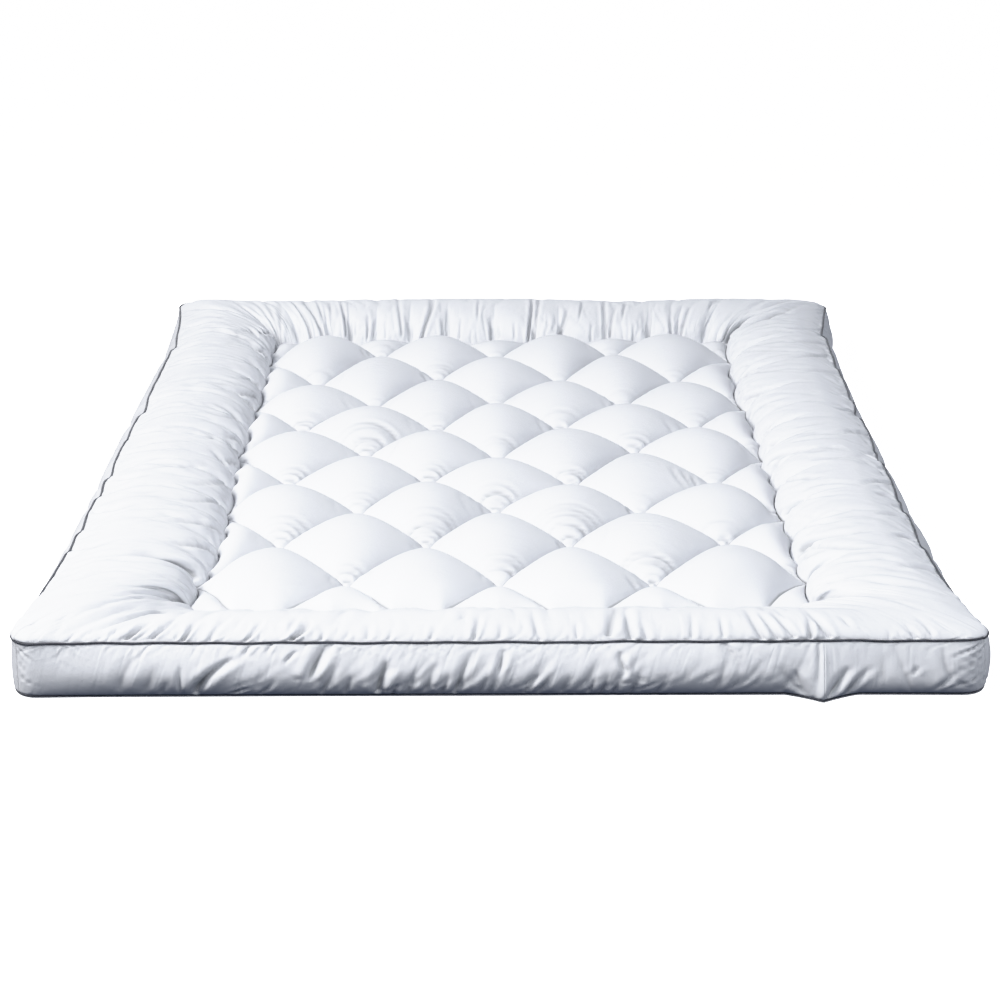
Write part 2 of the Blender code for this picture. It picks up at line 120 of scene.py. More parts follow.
# the field seam's bites: place along the side, stand-off from the field's edge
# (outwards positive), depth of the lobe that follows it
SCALLOPS = {
    "left": [
        (-0.815, -0.006, 0.014), (-0.679, -0.015, 0.013), (-0.624, -0.026, 0.012),
        (-0.523, -0.031, 0.012), (-0.418, -0.031, 0.007), (-0.329, -0.024, 0.012),
        (-0.219, -0.019, 0.012), (-0.133, -0.012, 0.016), (0.000, -0.001, 0.010),
        (0.056, -0.012, 0.014), (0.140, -0.006, 0.015), (0.295, -0.005, 0.013),
        (0.431, -0.007, 0.010), (0.521, -0.007, 0.013), (0.630, 0.000, 0.010),
        (0.719, 0.002, 0.010), (0.815, 0.002, 0.0),
    ],
    "right": [
        (-0.815, -0.001, 0.011), (-0.670, -0.003, 0.009), (-0.596, -0.010, 0.009),
        (-0.494, -0.008, 0.008), (-0.371, -0.007, 0.012), (-0.230, -0.006, 0.008),
        (-0.145, -0.010, 0.013), (-0.043, -0.009, 0.009), (0.056, -0.008, 0.010),
        (0.140, -0.012, 0.007), (0.288, -0.014, 0.014), (0.454, -0.019, 0.014),
        (0.631, -0.009, 0.015), (0.815, 0.002, 0.0),
    ],
    "back": [
        (-0.535, 0.006, 0.006), (-0.460, 0.012, 0.006), (-0.392, 0.010, 0.006),
        (-0.345, 0.012, 0.005), (-0.285, 0.012, 0.006), (-0.210, 0.012, 0.006),
        (-0.125, 0.012, 0.006), (-0.018, 0.012, 0.006), (0.070, 0.012, 0.006),
        (0.130, 0.012, 0.006), (0.230, 0.012, 0.006), (0.330, 0.012, 0.006),
        (0.395, 0.010, 0.006), (0.455, 0.010, 0.005), (0.535, 0.006, 0.0),
    ],
    "front": [
        (-0.535, 0.000, 0.010), (-0.455, 0.000, 0.008), (-0.365, 0.000, 0.010),
        (-0.270, 0.000, 0.009), (-0.195, 0.000, 0.010), (-0.095, 0.000, 0.010),
        (0.000, 0.000, 0.008), (0.080, 0.000, 0.010), (0.175, 0.000, 0.009),
        (0.265, 0.000, 0.010), (0.350, 0.000, 0.009), (0.440, 0.000, 0.010),
        (0.535, 0.000, 0.0),
    ],
}

# quilting crossings that lie off the even lattice: column, row, across, along
KNOTS = [
    (-2, 4, -0.010, 0.006), (0, 4, -0.016, -0.015), (2, 4, -0.020, 0.006),
    (-3, 3, 0.000, -0.055), (-1, 3, -0.006, 0.004), (1, 3, -0.003, -0.026), (3, 3, -0.022, -0.028),
    (-2, 2, 0.000, -0.036), (0, 2, -0.014, -0.020), (2, 2, -0.008, -0.036), (4, 2, 0.0, -0.040),
    (-3, 1, -0.008, -0.026), (-1, 1, 0.004, -0.034), (1, 1, -0.012, -0.020), (3, 1, 0.000, -0.012),
    (-2, 0, 0.000, -0.010), (0, 0, -0.005, -0.034), (2, 0, 0.000, 0.020), (4, 0, 0.0, -0.036),
    (-3, -1, -0.004, -0.014), (-1, -1, -0.005, -0.006), (1, -1, 0.009, -0.028), (3, -1, 0.016, -0.020),
    (-2, -2, 0.007, 0.006), (0, -2, -0.009, 0.013), (2, -2, -0.011, 0.002), (4, -2, 0.0, -0.028),
    (-3, -3, 0.011, 0.006), (-1, -3, 0.006, 0.004), (1, -3, -0.008, 0.010), (3, -3, 0.004, 0.015),
    (-2, -4, 0.008, -0.006), (0, -4, 0.003, -0.008), (2, -4, -0.003, -0.014), (4, -4, 0.0, 0.020),
]

FIELD_N = 35                          # field grid cells in half a diamond
FIELD_DENSER = 0.32                   # how much the grid closes up near the crossings
PILLOW_H = 0.0455                      # crown of a diamond over its channels
STATIONS = {"front": 740, "right": 600, "back": 620, "left": 600}
ROLL_ROWS = 35
GUSSET_ROWS = 30

# creases on the border roll, from where they are deepest to where they fade: two places, each
# with side, place along it and share (0 at the piping, 1 at the field seam); bow, depth, half-width
ROLL_CREASES = [
    # left side
    (("left", 0.133, 0.45), ("left", 0.131, 0.22), 0.000, 0.0018, 0.0060),
    (("left", 0.345, 0.96), ("left", 0.296, 0.69), 0.023, 0.0032, 0.0060),
    (("left", 0.307, 0.98), ("left", 0.287, 0.90), 0.000, 0.0050, 0.0050),
    (("left", -0.020, 0.96), ("left", -0.017, 0.70), 0.030, 0.0062, 0.0055),
    (("left", -0.044, 0.69), ("left", -0.046, 0.55), 0.000, 0.0025, 0.0050),
    (("left", -0.203, 0.74), ("left", -0.232, 0.45), 0.018, 0.0042, 0.0090),
    (("left", -0.084, 0.96), ("left", -0.136, 0.74), 0.029, 0.0035, 0.0050),
    (("left", -0.705, 0.96), ("left", -0.693, 0.55), 0.012, 0.0056, 0.0100),
    (("left", -0.934, 0.98), ("left", -0.919, 0.55), 0.001, 0.0028, 0.0070),
    (("left", -0.940, 0.99), ("left", -0.940, 0.65), 0.065, 0.0024, 0.0050),
    (("left", -0.940, 0.99), ("left", -0.998, 0.74), 0.041, 0.0024, 0.0050),
    (("left", 0.154, 0.97), ("left", 0.104, 0.60), 0.029, 0.0025, 0.0060),
    (("left", 0.441, 0.96), ("left", 0.363, 0.69), 0.020, 0.0030, 0.0050),
    (("left", 0.528, 0.96), ("left", 0.502, 0.60), 0.022, 0.0030, 0.0060),
    (("left", 0.676, 0.94), ("left", 0.679, 0.55), 0.027, 0.0030, 0.0060),
    (("left", -0.215, 0.98), ("left", -0.313, 0.69), 0.021, 0.0030, 0.0060),
    (("left", -0.325, 0.99), ("left", -0.403, 0.65), 0.020, 0.0032, 0.0070),
    (("left", -0.476, 0.94), ("left", -0.513, 0.65), 0.004, 0.0030, 0.0070),
    (("left", -0.574, 0.96), ("left", -0.624, 0.69), 0.009, 0.0035, 0.0070),
    (("left", 0.035, 0.96), ("left", 0.009, 0.85), 0.000, 0.0030, 0.0050),
    (("left", 0.255, 0.00), ("left", 0.218, 0.40), 0.006, 0.0022, 0.0060),
    (("left", 0.023, 0.00), ("left", -0.015, 0.45), 0.016, 0.0022, 0.0070),
    (("left", -0.099, 0.00), ("left", -0.136, 0.22), 0.000, 0.0020, 0.0060),
    (("left", -0.249, 0.02), ("left", -0.284, 0.40), 0.022, 0.0024, 0.0070),
    (("left", -0.426, 0.03), ("left", -0.441, 0.40), 0.019, 0.0022, 0.0080),
    (("left", -0.609, 0.00), ("left", -0.629, 0.40), 0.018, 0.0022, 0.0080),
    (("left", 0.603, 0.00), ("left", 0.589, 0.40), -0.009, 0.0022, 0.0060),
    (("left", 0.801, 0.02), ("left", 0.803, 0.50), 0.022, 0.0022, 0.0060),
    (("left", 0.647, 0.10), ("left", 0.635, 0.35), 0.000, 0.0018, 0.0050),
    # front left corner
    (("front", -0.607, 0.65), ("front", -0.609, 0.22), 0.023, 0.0050, 0.0060),
    (("front", -0.579, 0.40), ("front", -0.627, 0.10), 0.002, 0.0045, 0.0060),
    (("front", -0.567, 0.04), ("front", -0.555, 0.26), 0.006, 0.0050, 0.0060),
    (("front", -0.559, 0.06), ("front", -0.553, 0.15), 0.000, 0.0030, 0.0040),
    (("front", -0.527, 0.04), ("front", -0.517, 0.31), 0.008, 0.0040, 0.0050),
    (("front", -0.479, 0.02), ("front", -0.473, 0.22), 0.003, 0.0050, 0.0040),
    (("front", -0.383, 0.02), ("front", -0.365, 0.22), 0.005, 0.0030, 0.0040),
    (("front", -0.489, 0.03), ("front", -0.485, 0.12), 0.000, 0.0025, 0.0040),
    (("front", -0.437, 0.02), ("front", -0.419, 0.31), -0.001, 0.0020, 0.0050),
    (("front", -0.726, 0.31), ("front", -0.680, 0.08), 0.004, 0.0022, 0.0050),
    (("left", -0.986, 0.22), ("front", -0.706, 0.08), 0.000, 0.0015, 0.0050),
    (("front", -0.631, 0.08), ("front", -0.629, 0.12), 0.000, 0.0025, 0.0040),
    (("front", -0.589, 0.06), ("front", -0.593, 0.12), 0.000, 0.0020, 0.0040),
    (("front", -0.621, 0.65), ("front", -0.698, 0.45), 0.041, 0.0024, 0.0050),
    (("front", -0.639, 0.74), ("left", -0.992, 0.60), -0.030, 0.0024, 0.0050),
    # front
    (("front", -0.313, 0.02), ("front", -0.289, 0.22), 0.007, 0.0060, 0.0055),
    (("front", -0.317, 0.10), ("front", -0.307, 0.31), 0.000, 0.0020, 0.0040),
    (("front", -0.034, 0.03), ("front", -0.026, 0.26), 0.001, 0.0034, 0.0040),
    (("front", -0.056, 0.22), ("front", -0.044, 0.35), 0.000, 0.0025, 0.0060),
    (("front", 0.172, 0.06), ("front", 0.188, 0.55), 0.002, 0.0042, 0.0080),
    (("front", 0.206, 0.01), ("front", 0.198, 0.40), -0.001, 0.0034, 0.0060),
    (("front", 0.068, 0.01), ("front", 0.054, 0.35), -0.002, 0.0020, 0.0050),
    (("front", 0.299, 0.03), ("front", 0.305, 0.35), -0.001, 0.0016, 0.0050),
    (("front", 0.347, 0.04), ("front", 0.349, 0.26), -0.001, 0.0020, 0.0040),
    (("front", 0.407, 0.01), ("front", 0.397, 0.40), -0.005, 0.0032, 0.0060),
    (("front", 0.431, 0.01), ("front", 0.411, 0.31), -0.002, 0.0032, 0.0050),
    (("front", 0.455, 0.03), ("front", 0.433, 0.31), -0.002, 0.0030, 0.0050),
    (("front", 0.509, 0.03), ("front", 0.501, 0.35), -0.004, 0.0036, 0.0060),
    (("front", 0.479, 0.02), ("front", 0.491, 0.22), -0.001, 0.0045, 0.0040),
    (("front", 0.547, 0.12), ("front", 0.545, 0.26), 0.000, 0.0018, 0.0050),
    (("front", 0.641, 0.00), ("front", 0.641, 0.19), -0.002, 0.0018, 0.0050),
    (("front", 0.668, 0.08), ("front", 0.688, 0.26), -0.004, 0.0018, 0.0050),
    (("front", -0.267, 0.02), ("front", -0.259, 0.12), 0.000, 0.0018, 0.0040),
    (("front", -0.196, 0.04), ("front", -0.196, 0.19), 0.000, 0.0018, 0.0050),
    (("front", -0.229, 0.04), ("front", -0.225, 0.10), 0.000, 0.0016, 0.0040),
    (("front", -0.164, 0.02), ("front", -0.158, 0.10), 0.000, 0.0016, 0.0040),
    (("front", 0.124, 0.04), ("front", 0.122, 0.19), 0.000, 0.0015, 0.0040),
    (("front", 0.231, 0.01), ("front", 0.221, 0.19), 0.000, 0.0018, 0.0050),
    (("front", 0.006, 0.03), ("front", 0.012, 0.19), 0.000, 0.0015, 0.0050),
    (("front", -0.100, 0.03), ("front", -0.092, 0.15), 0.000, 0.0014, 0.0040),
    # right side
    (("right", 0.012, 0.94), ("right", 0.055, 0.65), 0.007, 0.0040, 0.0070),
    (("right", -0.073, 0.96), ("right", -0.038, 0.85), 0.028, 0.0030, 0.0050),
    (("right", -0.708, 0.98), ("right", -0.740, 0.81), 0.007, 0.0034, 0.0050),
    (("right", -0.934, 0.98), ("right", -0.943, 0.60), -0.054, 0.0022, 0.0070),
    (("right", -0.586, 0.96), ("right", -0.679, 0.35), -0.051, 0.0020, 0.0080),
    (("right", -0.580, 0.94), ("right", -0.603, 0.40), -0.015, 0.0040, 0.0070),
    (("right", -0.592, 0.00), ("right", -0.609, 0.22), 0.007, 0.0046, 0.0050),
    (("right", -0.380, 0.00), ("right", -0.392, 0.22), 0.008, 0.0032, 0.0060),
    (("right", -0.165, 0.03), ("right", -0.157, 0.12), 0.000, 0.0046, 0.0050),
    (("right", 0.154, 0.00), ("right", 0.110, 0.26), -0.011, 0.0050, 0.0060),
    (("right", 0.235, 0.00), ("right", 0.223, 0.22), 0.002, 0.0036, 0.0050),
    (("right", 0.743, 0.04), ("right", 0.716, 0.45), -0.006, 0.0042, 0.0070),
    (("right", 0.540, 0.06), ("right", 0.464, 0.45), -0.010, 0.0032, 0.0060),
    (("right", -0.113, 0.94), ("right", -0.151, 0.60), -0.002, 0.0024, 0.0060),
    (("right", -0.226, 0.98), ("right", -0.310, 0.60), -0.019, 0.0028, 0.0060),
    (("right", -0.357, 0.97), ("right", -0.412, 0.55), -0.009, 0.0030, 0.0070),
    (("right", -0.490, 0.98), ("right", -0.551, 0.60), -0.008, 0.0030, 0.0070),
    (("right", 0.194, 0.96), ("right", 0.186, 0.65), 0.003, 0.0030, 0.0060),
    (("right", 0.316, 0.96), ("right", 0.278, 0.65), -0.007, 0.0030, 0.0060),
    (("right", 0.461, 0.97), ("right", 0.383, 0.55), -0.024, 0.0026, 0.0060),
    (("right", 0.658, 0.98), ("right", 0.534, 0.55), -0.036, 0.0026, 0.0060),
    (("right", 0.418, 0.01), ("right", 0.345, 0.45), 0.003, 0.0024, 0.0060),
    (("right", 0.650, 0.00), ("right", 0.600, 0.40), -0.003, 0.0026, 0.0050),
    (("right", 0.006, 0.01), ("right", -0.078, 0.40), -0.000, 0.0024, 0.0060),
    (("right", -0.281, 0.00), ("right", -0.371, 0.40), 0.001, 0.0024, 0.0060),
    (("right", -0.479, 0.00), ("right", -0.534, 0.40), 0.011, 0.0024, 0.0060),
    (("right", -0.728, 0.00), ("right", -0.806, 0.45), 0.007, 0.0022, 0.0070),
    (("right", -0.641, 0.96), ("right", -0.673, 0.78), -0.003, 0.0024, 0.0050),
    # back
    (("back", -0.504, 0.96), ("back", -0.513, 0.31), 0.005, 0.0045, 0.0060),
    (("back", -0.460, 0.96), ("back", -0.479, 0.31), 0.008, 0.0040, 0.0060),
    (("back", -0.448, 0.78), ("back", -0.448, 0.35), 0.000, 0.0025, 0.0050),
    (("back", -0.460, 0.94), ("back", -0.457, 0.81), 0.000, 0.0025, 0.0040),
    (("back", -0.380, 0.94), ("back", -0.386, 0.35), -0.002, 0.0040, 0.0050),
    (("back", -0.318, 0.96), ("back", -0.315, 0.74), -0.002, 0.0034, 0.0050),
    (("back", -0.300, 0.94), ("back", -0.297, 0.81), 0.000, 0.0026, 0.0050),
    (("back", -0.229, 0.94), ("back", -0.244, 0.31), 0.001, 0.0032, 0.0060),
    (("back", -0.207, 0.96), ("back", -0.207, 0.88), 0.000, 0.0024, 0.0040),
    (("back", -0.182, 0.96), ("back", -0.164, 0.31), -0.012, 0.0055, 0.0070),
    (("back", -0.136, 0.96), ("back", -0.136, 0.78), 0.000, 0.0044, 0.0060),
    (("back", -0.056, 0.81), ("back", -0.053, 0.40), 0.000, 0.0026, 0.0050),
    (("back", -0.025, 0.97), ("back", -0.025, 0.74), 0.000, 0.0044, 0.0060),
    (("back", -0.006, 0.96), ("back", -0.009, 0.88), 0.000, 0.0026, 0.0050),
    (("back", 0.059, 0.98), ("back", 0.068, 0.31), -0.005, 0.0055, 0.0060),
    (("back", 0.071, 0.98), ("back", 0.087, 0.31), -0.003, 0.0050, 0.0060),
    (("back", 0.127, 0.97), ("back", 0.151, 0.60), -0.005, 0.0050, 0.0060),
    (("back", 0.235, 0.96), ("back", 0.238, 0.31), 0.001, 0.0048, 0.0060),
    (("back", 0.247, 0.96), ("back", 0.266, 0.55), 0.002, 0.0048, 0.0060),
    (("back", 0.176, 0.81), ("back", 0.189, 0.40), 0.000, 0.0026, 0.0050),
    (("back", 0.349, 0.97), ("back", 0.355, 0.60), -0.001, 0.0048, 0.0060),
    (("back", 0.420, 0.97), ("back", 0.408, 0.74), -0.001, 0.0042, 0.0060),
    (("back", 0.454, 0.97), ("back", 0.464, 0.60), -0.003, 0.0048, 0.0060),
    (("back", 0.532, 0.69), ("back", 0.519, 0.45), 0.000, 0.0026, 0.0050),
    (("back", 0.668, 0.97), ("back", 0.689, 0.78), -0.002, 0.0052, 0.0070),
    (("back", 0.278, 0.81), ("back", 0.290, 0.40), 0.000, 0.0030, 0.0050),
    (("back", 0.201, 0.97), ("back", 0.204, 0.85), 0.000, 0.0024, 0.0050),
    (("back", -0.096, 0.96), ("back", -0.093, 0.78), 0.000, 0.0026, 0.0050),
    (("back", -0.269, 0.96), ("back", -0.269, 0.81), 0.000, 0.0024, 0.0050),
    (("back", 0.306, 0.97), ("back", 0.309, 0.85), 0.000, 0.0024, 0.0050),
    (("back", 0.028, 0.96), ("back", 0.028, 0.85), 0.000, 0.0024, 0.0050),
    (("back", 0.096, 0.96), ("back", 0.105, 0.88), 0.000, 0.0024, 0.0050),
    (("back", -0.433, 0.96), ("back", -0.414, 0.45), -0.006, 0.0030, 0.0050),
    (("back", -0.352, 0.96), ("back", -0.346, 0.81), 0.000, 0.0026, 0.0050),
    # back left corner
    (("back", -0.711, 0.97), ("back", -0.698, 0.31), 0.217, 0.0032, 0.0060),
    (("back", -0.702, 0.97), ("back", -0.658, 0.31), 0.040, 0.0032, 0.0060),
    (("back", -0.695, 0.98), ("back", -0.624, 0.31), -0.007, 0.0030, 0.0060),
    (("back", -0.683, 0.97), ("back", -0.590, 0.31), -0.016, 0.0030, 0.0060),
    (("back", -0.732, 0.98), ("left", 0.934, 0.35), 0.220, 0.0030, 0.0060),
    (("left", 0.986, 0.98), ("left", 0.861, 0.22), 0.232, 0.0026, 0.0060),
    (("back", -0.668, 0.97), ("back", -0.556, 0.31), -0.032, 0.0026, 0.0060),
    # pleat at the back right corner
    (("back", 0.711, 0.97), ("right", 0.952, 0.30), -0.034, 0.0120, 0.0130),
    (("right", 0.812, 0.92), ("right", 0.940, 0.31), -0.031, 0.0060, 0.0080),
]
# creases on the gusset, in the same way (share 0 below, 1 above)
GUSSET_CREASES = [
    (("front", -0.461, 0.06), ("front", -0.401, 0.78), -0.012, 0.0092, 0.0080),
    (("front", -0.485, 0.14), ("front", -0.481, 0.67), 0.000, 0.0025, 0.0040),
    (("front", -0.285, 0.40), ("front", -0.257, 0.98), -0.002, 0.0078, 0.0080),
    (("front", -0.321, 0.71), ("front", -0.303, 0.89), 0.000, 0.0035, 0.0040),
    (("front", -0.182, 0.08), ("front", -0.166, 0.72), -0.002, 0.0080, 0.0075),
    (("front", -0.160, 0.00), ("front", -0.152, 0.29), 0.000, 0.0030, 0.0040),
    (("front", -0.269, 0.06), ("front", -0.241, 0.67), -0.001, 0.0040, 0.0060),
    (("front", -0.064, 0.06), ("front", -0.034, 0.89), -0.003, 0.0056, 0.0065),
    (("front", -0.086, 0.04), ("front", -0.070, 0.48), 0.000, 0.0030, 0.0050),
    (("front", 0.002, 0.48), ("front", 0.012, 0.89), 0.001, 0.0050, 0.0050),
    (("front", -0.014, 0.04), ("front", 0.002, 0.48), 0.000, 0.0030, 0.0050),
    (("front", 0.064, 0.08), ("front", 0.084, 0.52), 0.000, 0.0030, 0.0060),
    (("front", 0.042, 0.08), ("front", 0.060, 0.48), 0.000, 0.0030, 0.0050),
    (("front", 0.196, 0.52), ("front", 0.188, 0.86), -0.002, 0.0050, 0.0050),
    (("front", 0.158, 0.02), ("front", 0.172, 0.52), 0.000, 0.0035, 0.0060),
    (("front", 0.176, 0.02), ("front", 0.190, 0.48), 0.000, 0.0030, 0.0050),
    (("front", 0.204, 0.02), ("front", 0.218, 0.48), 0.000, 0.0035, 0.0060),
    (("front", 0.140, 0.08), ("front", 0.154, 0.48), 0.000, 0.0030, 0.0050),
    (("front", 0.347, 0.98), ("front", 0.373, 0.52), 0.001, 0.0026, 0.0080),
    (("front", 0.455, 0.48), ("front", 0.471, 0.06), 0.000, 0.0030, 0.0070),
    (("front", 0.505, 0.00), ("front", 0.537, 0.57), 0.000, 0.0060, 0.0070),
    (("front", 0.535, 0.00), ("front", 0.571, 0.57), -0.005, 0.0040, 0.0060),
    (("front", 0.633, 0.43), ("front", 0.643, 0.57), 0.000, 0.0030, 0.0050),
    (("front", 0.672, 0.14), ("front", 0.702, 0.48), -0.001, 0.0030, 0.0060),
    (("front", -0.409, 0.06), ("front", -0.377, 0.24), 0.000, 0.0040, 0.0050),
    (("front", -0.361, 0.06), ("front", -0.337, 0.38), 0.000, 0.0030, 0.0050),
    (("front", -0.233, 0.06), ("front", -0.221, 0.48), 0.000, 0.0030, 0.0050),
    (("front", -0.138, 0.04), ("front", -0.124, 0.48), 0.000, 0.0030, 0.0060),
    (("front", 0.098, 0.08), ("front", 0.114, 0.48), 0.000, 0.0025, 0.0060),
    (("front", -0.383, 0.83), ("front", -0.377, 0.98), 0.000, 0.0030, 0.0040),
    (("front", -0.349, 0.86), ("front", -0.343, 1.00), 0.000, 0.0025, 0.0040),
    (("front", -0.517, 0.06), ("front", -0.503, 0.38), 0.000, 0.0020, 0.0050),
    (("front", -0.110, 0.11), ("front", -0.092, 0.67), 0.000, 0.0030, 0.0060),
    (("front", 0.243, 0.02), ("front", 0.261, 0.43), 0.000, 0.0025, 0.0060),
    (("front", -0.028, 0.04), ("front", -0.012, 0.48), 0.000, 0.0030, 0.0050),
    # beside the joint seam
    (("front", 0.491, 0.96), ("front", 0.487, 0.08), 0.002, 0.0022, 0.0040),
    (("front", 0.470, 0.04), ("front", 0.430, 0.62), -0.004, 0.0024, 0.0080),
    # drawn in at the front corner seams
    (("front", 0.741, 0.92), ("front", 0.694, 0.74), 0.000, 0.0034, 0.0050),
    (("front", 0.741, 0.78), ("front", 0.712, 0.66), 0.000, 0.0022, 0.0040),
    (("front", 0.741, 0.64), ("front", 0.700, 0.50), 0.000, 0.0030, 0.0050),
    (("front", 0.741, 0.48), ("front", 0.715, 0.40), 0.000, 0.0020, 0.0040),
    (("front", 0.741, 0.34), ("front", 0.690, 0.16), 0.000, 0.0030, 0.0060),
    (("front", -0.741, 0.90), ("front", -0.716, 0.70), 0.000, 0.0016, 0.0040),
    (("front", -0.741, 0.60), ("front", -0.724, 0.48), 0.000, 0.0014, 0.0040),
    (("front", -0.741, 0.36), ("front", -0.712, 0.24), 0.000, 0.0016, 0.0050),
]
# curved creases round the crossings: column, row, side of the crossing, radius, depth, half-width
# and where along the curve it is deepest (-1 its left or near end, 1 its right or far end)
CRESCENTS = [
    (0, -2, "back", 0.055, 0.0042, 0.0048, 0.0), (0, -2, "back", 0.022, 0.0034, 0.0045, 0.0),
    (0, -2, "back", 0.036, 0.0014, 0.0045, 0.3), (0, -2, "back", 0.076, 0.0012, 0.0055, 0.5),
    (0, -2, "left", 0.030, 0.0018, 0.0045, 0.0), (0, -2, "left", 0.046, 0.0014, 0.0050, 0.0),
    (-1, -3, "back", 0.063, 0.0036, 0.0048, -0.5), (-1, -3, "back", 0.052, 0.0022, 0.0045, 0.7),
    (-1, -3, "back", 0.022, 0.0036, 0.0045, 0.0), (-1, -3, "back", 0.034, 0.0016, 0.0045, 0.3),
    (-1, -3, "back", 0.042, 0.0014, 0.0045, -0.6), (-1, -3, "back", 0.084, 0.0016, 0.0055, 0.7),
    (-1, -3, "back", 0.100, 0.0012, 0.0060, 0.8), (-1, -3, "left", 0.030, 0.0012, 0.0050, 0.0),
    (-1, -1, "back", 0.030, 0.0034, 0.0045, 0.0), (-1, -1, "back", 0.046, 0.0024, 0.0045, 0.7),
    (-1, -1, "left", 0.022, 0.0022, 0.0045, 0.0), (-1, -1, "back", 0.060, 0.0012, 0.0050, 0.8),
    (1, -1, "back", 0.052, 0.0022, 0.0048, -0.4), (1, -1, "back", 0.040, 0.0024, 0.0045, 0.6),
    (1, -1, "back", 0.024, 0.0018, 0.0045, 0.0), (1, -1, "left", 0.040, 0.0012, 0.0050, 0.0),
    (1, -3, "back", 0.030, 0.0038, 0.0045, -0.2), (1, -3, "back", 0.056, 0.0032, 0.0048, 0.7),
    (1, -3, "back", 0.064, 0.0016, 0.0050, -0.6), (1, -3, "back", 0.082, 0.0020, 0.0055, 0.2),
    (1, -3, "back", 0.098, 0.0020, 0.0060, 0.4), (1, -3, "back", 0.114, 0.0012, 0.0065, 0.2),
    (1, -3, "left", 0.024, 0.0018, 0.0045, 0.0), (1, -3, "right", 0.028, 0.0014, 0.0045, 0.2),
    (-2, 0, "back", 0.104, 0.0028, 0.0058, 0.5), (-2, 0, "back", 0.088, 0.0016, 0.0055, -0.2),
    (-2, 0, "back", 0.060, 0.0026, 0.0048, 0.2), (-2, 0, "back", 0.050, 0.0020, 0.0045, -0.7),
    (-2, 0, "back", 0.030, 0.0034, 0.0045, 0.0), (-2, 0, "back", 0.040, 0.0014, 0.0045, 0.6),
    (-2, -2, "back", 0.034, 0.0018, 0.0045, -0.2), (-2, -2, "back", 0.048, 0.0012, 0.0050, 0.5),
    (0, -4, "back", 0.046, 0.0034, 0.0048, 0.5), (0, -4, "back", 0.066, 0.0016, 0.0050, 0.7),
    (0, -4, "back", 0.080, 0.0012, 0.0055, 0.6), (0, -4, "left", 0.036, 0.0014, 0.0050, 0.0),
    (-2, -4, "back", 0.036, 0.0022, 0.0045, 0.0), (-2, -4, "back", 0.018, 0.0038, 0.0045, 0.0),
    (-2, -4, "back", 0.052, 0.0014, 0.0050, 0.6), (-2, -4, "left", 0.030, 0.0014, 0.0050, 0.0),
    (0, 0, "left", 0.030, 0.0014, 0.0045, 0.0), (0, 0, "left", 0.050, 0.0010, 0.0050, 0.0),
    (-3, 1, "back", 0.042, 0.0026, 0.0045, -0.2), (-3, 1, "back", 0.031, 0.0020, 0.0042, 0.2),
    (-3, 1, "back", 0.018, 0.0026, 0.0042, 0.0), (-3, -1, "back", 0.042, 0.0022, 0.0045, 0.3),
    (-3, -1, "back", 0.026, 0.0030, 0.0045, 0.0), (-3, -1, "back", 0.058, 0.0016, 0.0050, 0.6),
    (-3, -3, "back", 0.048, 0.0024, 0.0048, 0.2), (-3, -3, "back", 0.030, 0.0026, 0.0045, 0.0),
    (-3, -3, "back", 0.066, 0.0014, 0.0050, 0.6), (-3, -3, "back", 0.084, 0.0012, 0.0055, 0.5),
    (-2, 4, "back", 0.016, 0.0030, 0.0042, 0.0), (-2, 4, "left", 0.032, 0.0030, 0.0042, 0.0),
    (-2, 4, "left", 0.046, 0.0024, 0.0045, 0.0), (-1, 3, "back", 0.036, 0.0016, 0.0045, 0.6),
    (-1, 3, "back", 0.050, 0.0012, 0.0045, 0.7), (-1, 3, "left", 0.034, 0.0014, 0.0045, 0.0),
    (-1, 3, "left", 0.054, 0.0012, 0.0050, 0.0), (-1, 1, "back", 0.030, 0.0020, 0.0045, 0.0),
    (-1, 1, "back", 0.020, 0.0022, 0.0042, 0.4), (2, -2, "left", 0.022, 0.0028, 0.0042, 0.0),
    (2, -2, "left", 0.036, 0.0018, 0.0045, 0.0), (3, -3, "back", 0.022, 0.0028, 0.0045, 0.0),
    (2, 0, "back", 0.030, 0.0022, 0.0048, 0.0), (2, 0, "back", 0.052, 0.0012, 0.0050, 0.4),
    (2, 0, "back", 0.064, 0.0010, 0.0050, 0.0), (1, 1, "back", 0.022, 0.0028, 0.0045, 0.2),
    (1, 1, "left", 0.024, 0.0026, 0.0042, 0.0), (1, 1, "left", 0.038, 0.0022, 0.0045, 0.0),
    (1, 1, "left", 0.052, 0.0014, 0.0045, 0.0), (2, 2, "left", 0.024, 0.0024, 0.0042, 0.0),
    (2, 2, "left", 0.036, 0.0024, 0.0045, 0.0), (2, 2, "left", 0.052, 0.0014, 0.0045, 0.0),
    (3, -1, "left", 0.048, 0.0026, 0.0045, -0.3), (3, -1, "left", 0.064, 0.0024, 0.0045, -0.3),
    (3, -1, "left", 0.082, 0.0018, 0.0050, -0.2), (3, 1, "left", 0.040, 0.0012, 0.0050, 0.0),
    (2, -4, "back", 0.076, 0.0028, 0.0052, 0.1), (2, -4, "back", 0.088, 0.0018, 0.0050, -0.7),
    (2, -4, "back", 0.060, 0.0020, 0.0048, 0.4), (2, -4, "back", 0.018, 0.0040, 0.0045, 0.0),
    (2, -4, "left", 0.030, 0.0020, 0.0045, 0.0), (2, -4, "left", 0.046, 0.0018, 0.0050, 0.0),
    (4, -2, "back", 0.032, 0.0028, 0.0045, 0.0),
]


FIELD_ROUNDS, ROLL_ROUNDS, GUSSET_ROUNDS = 90, 60, 50


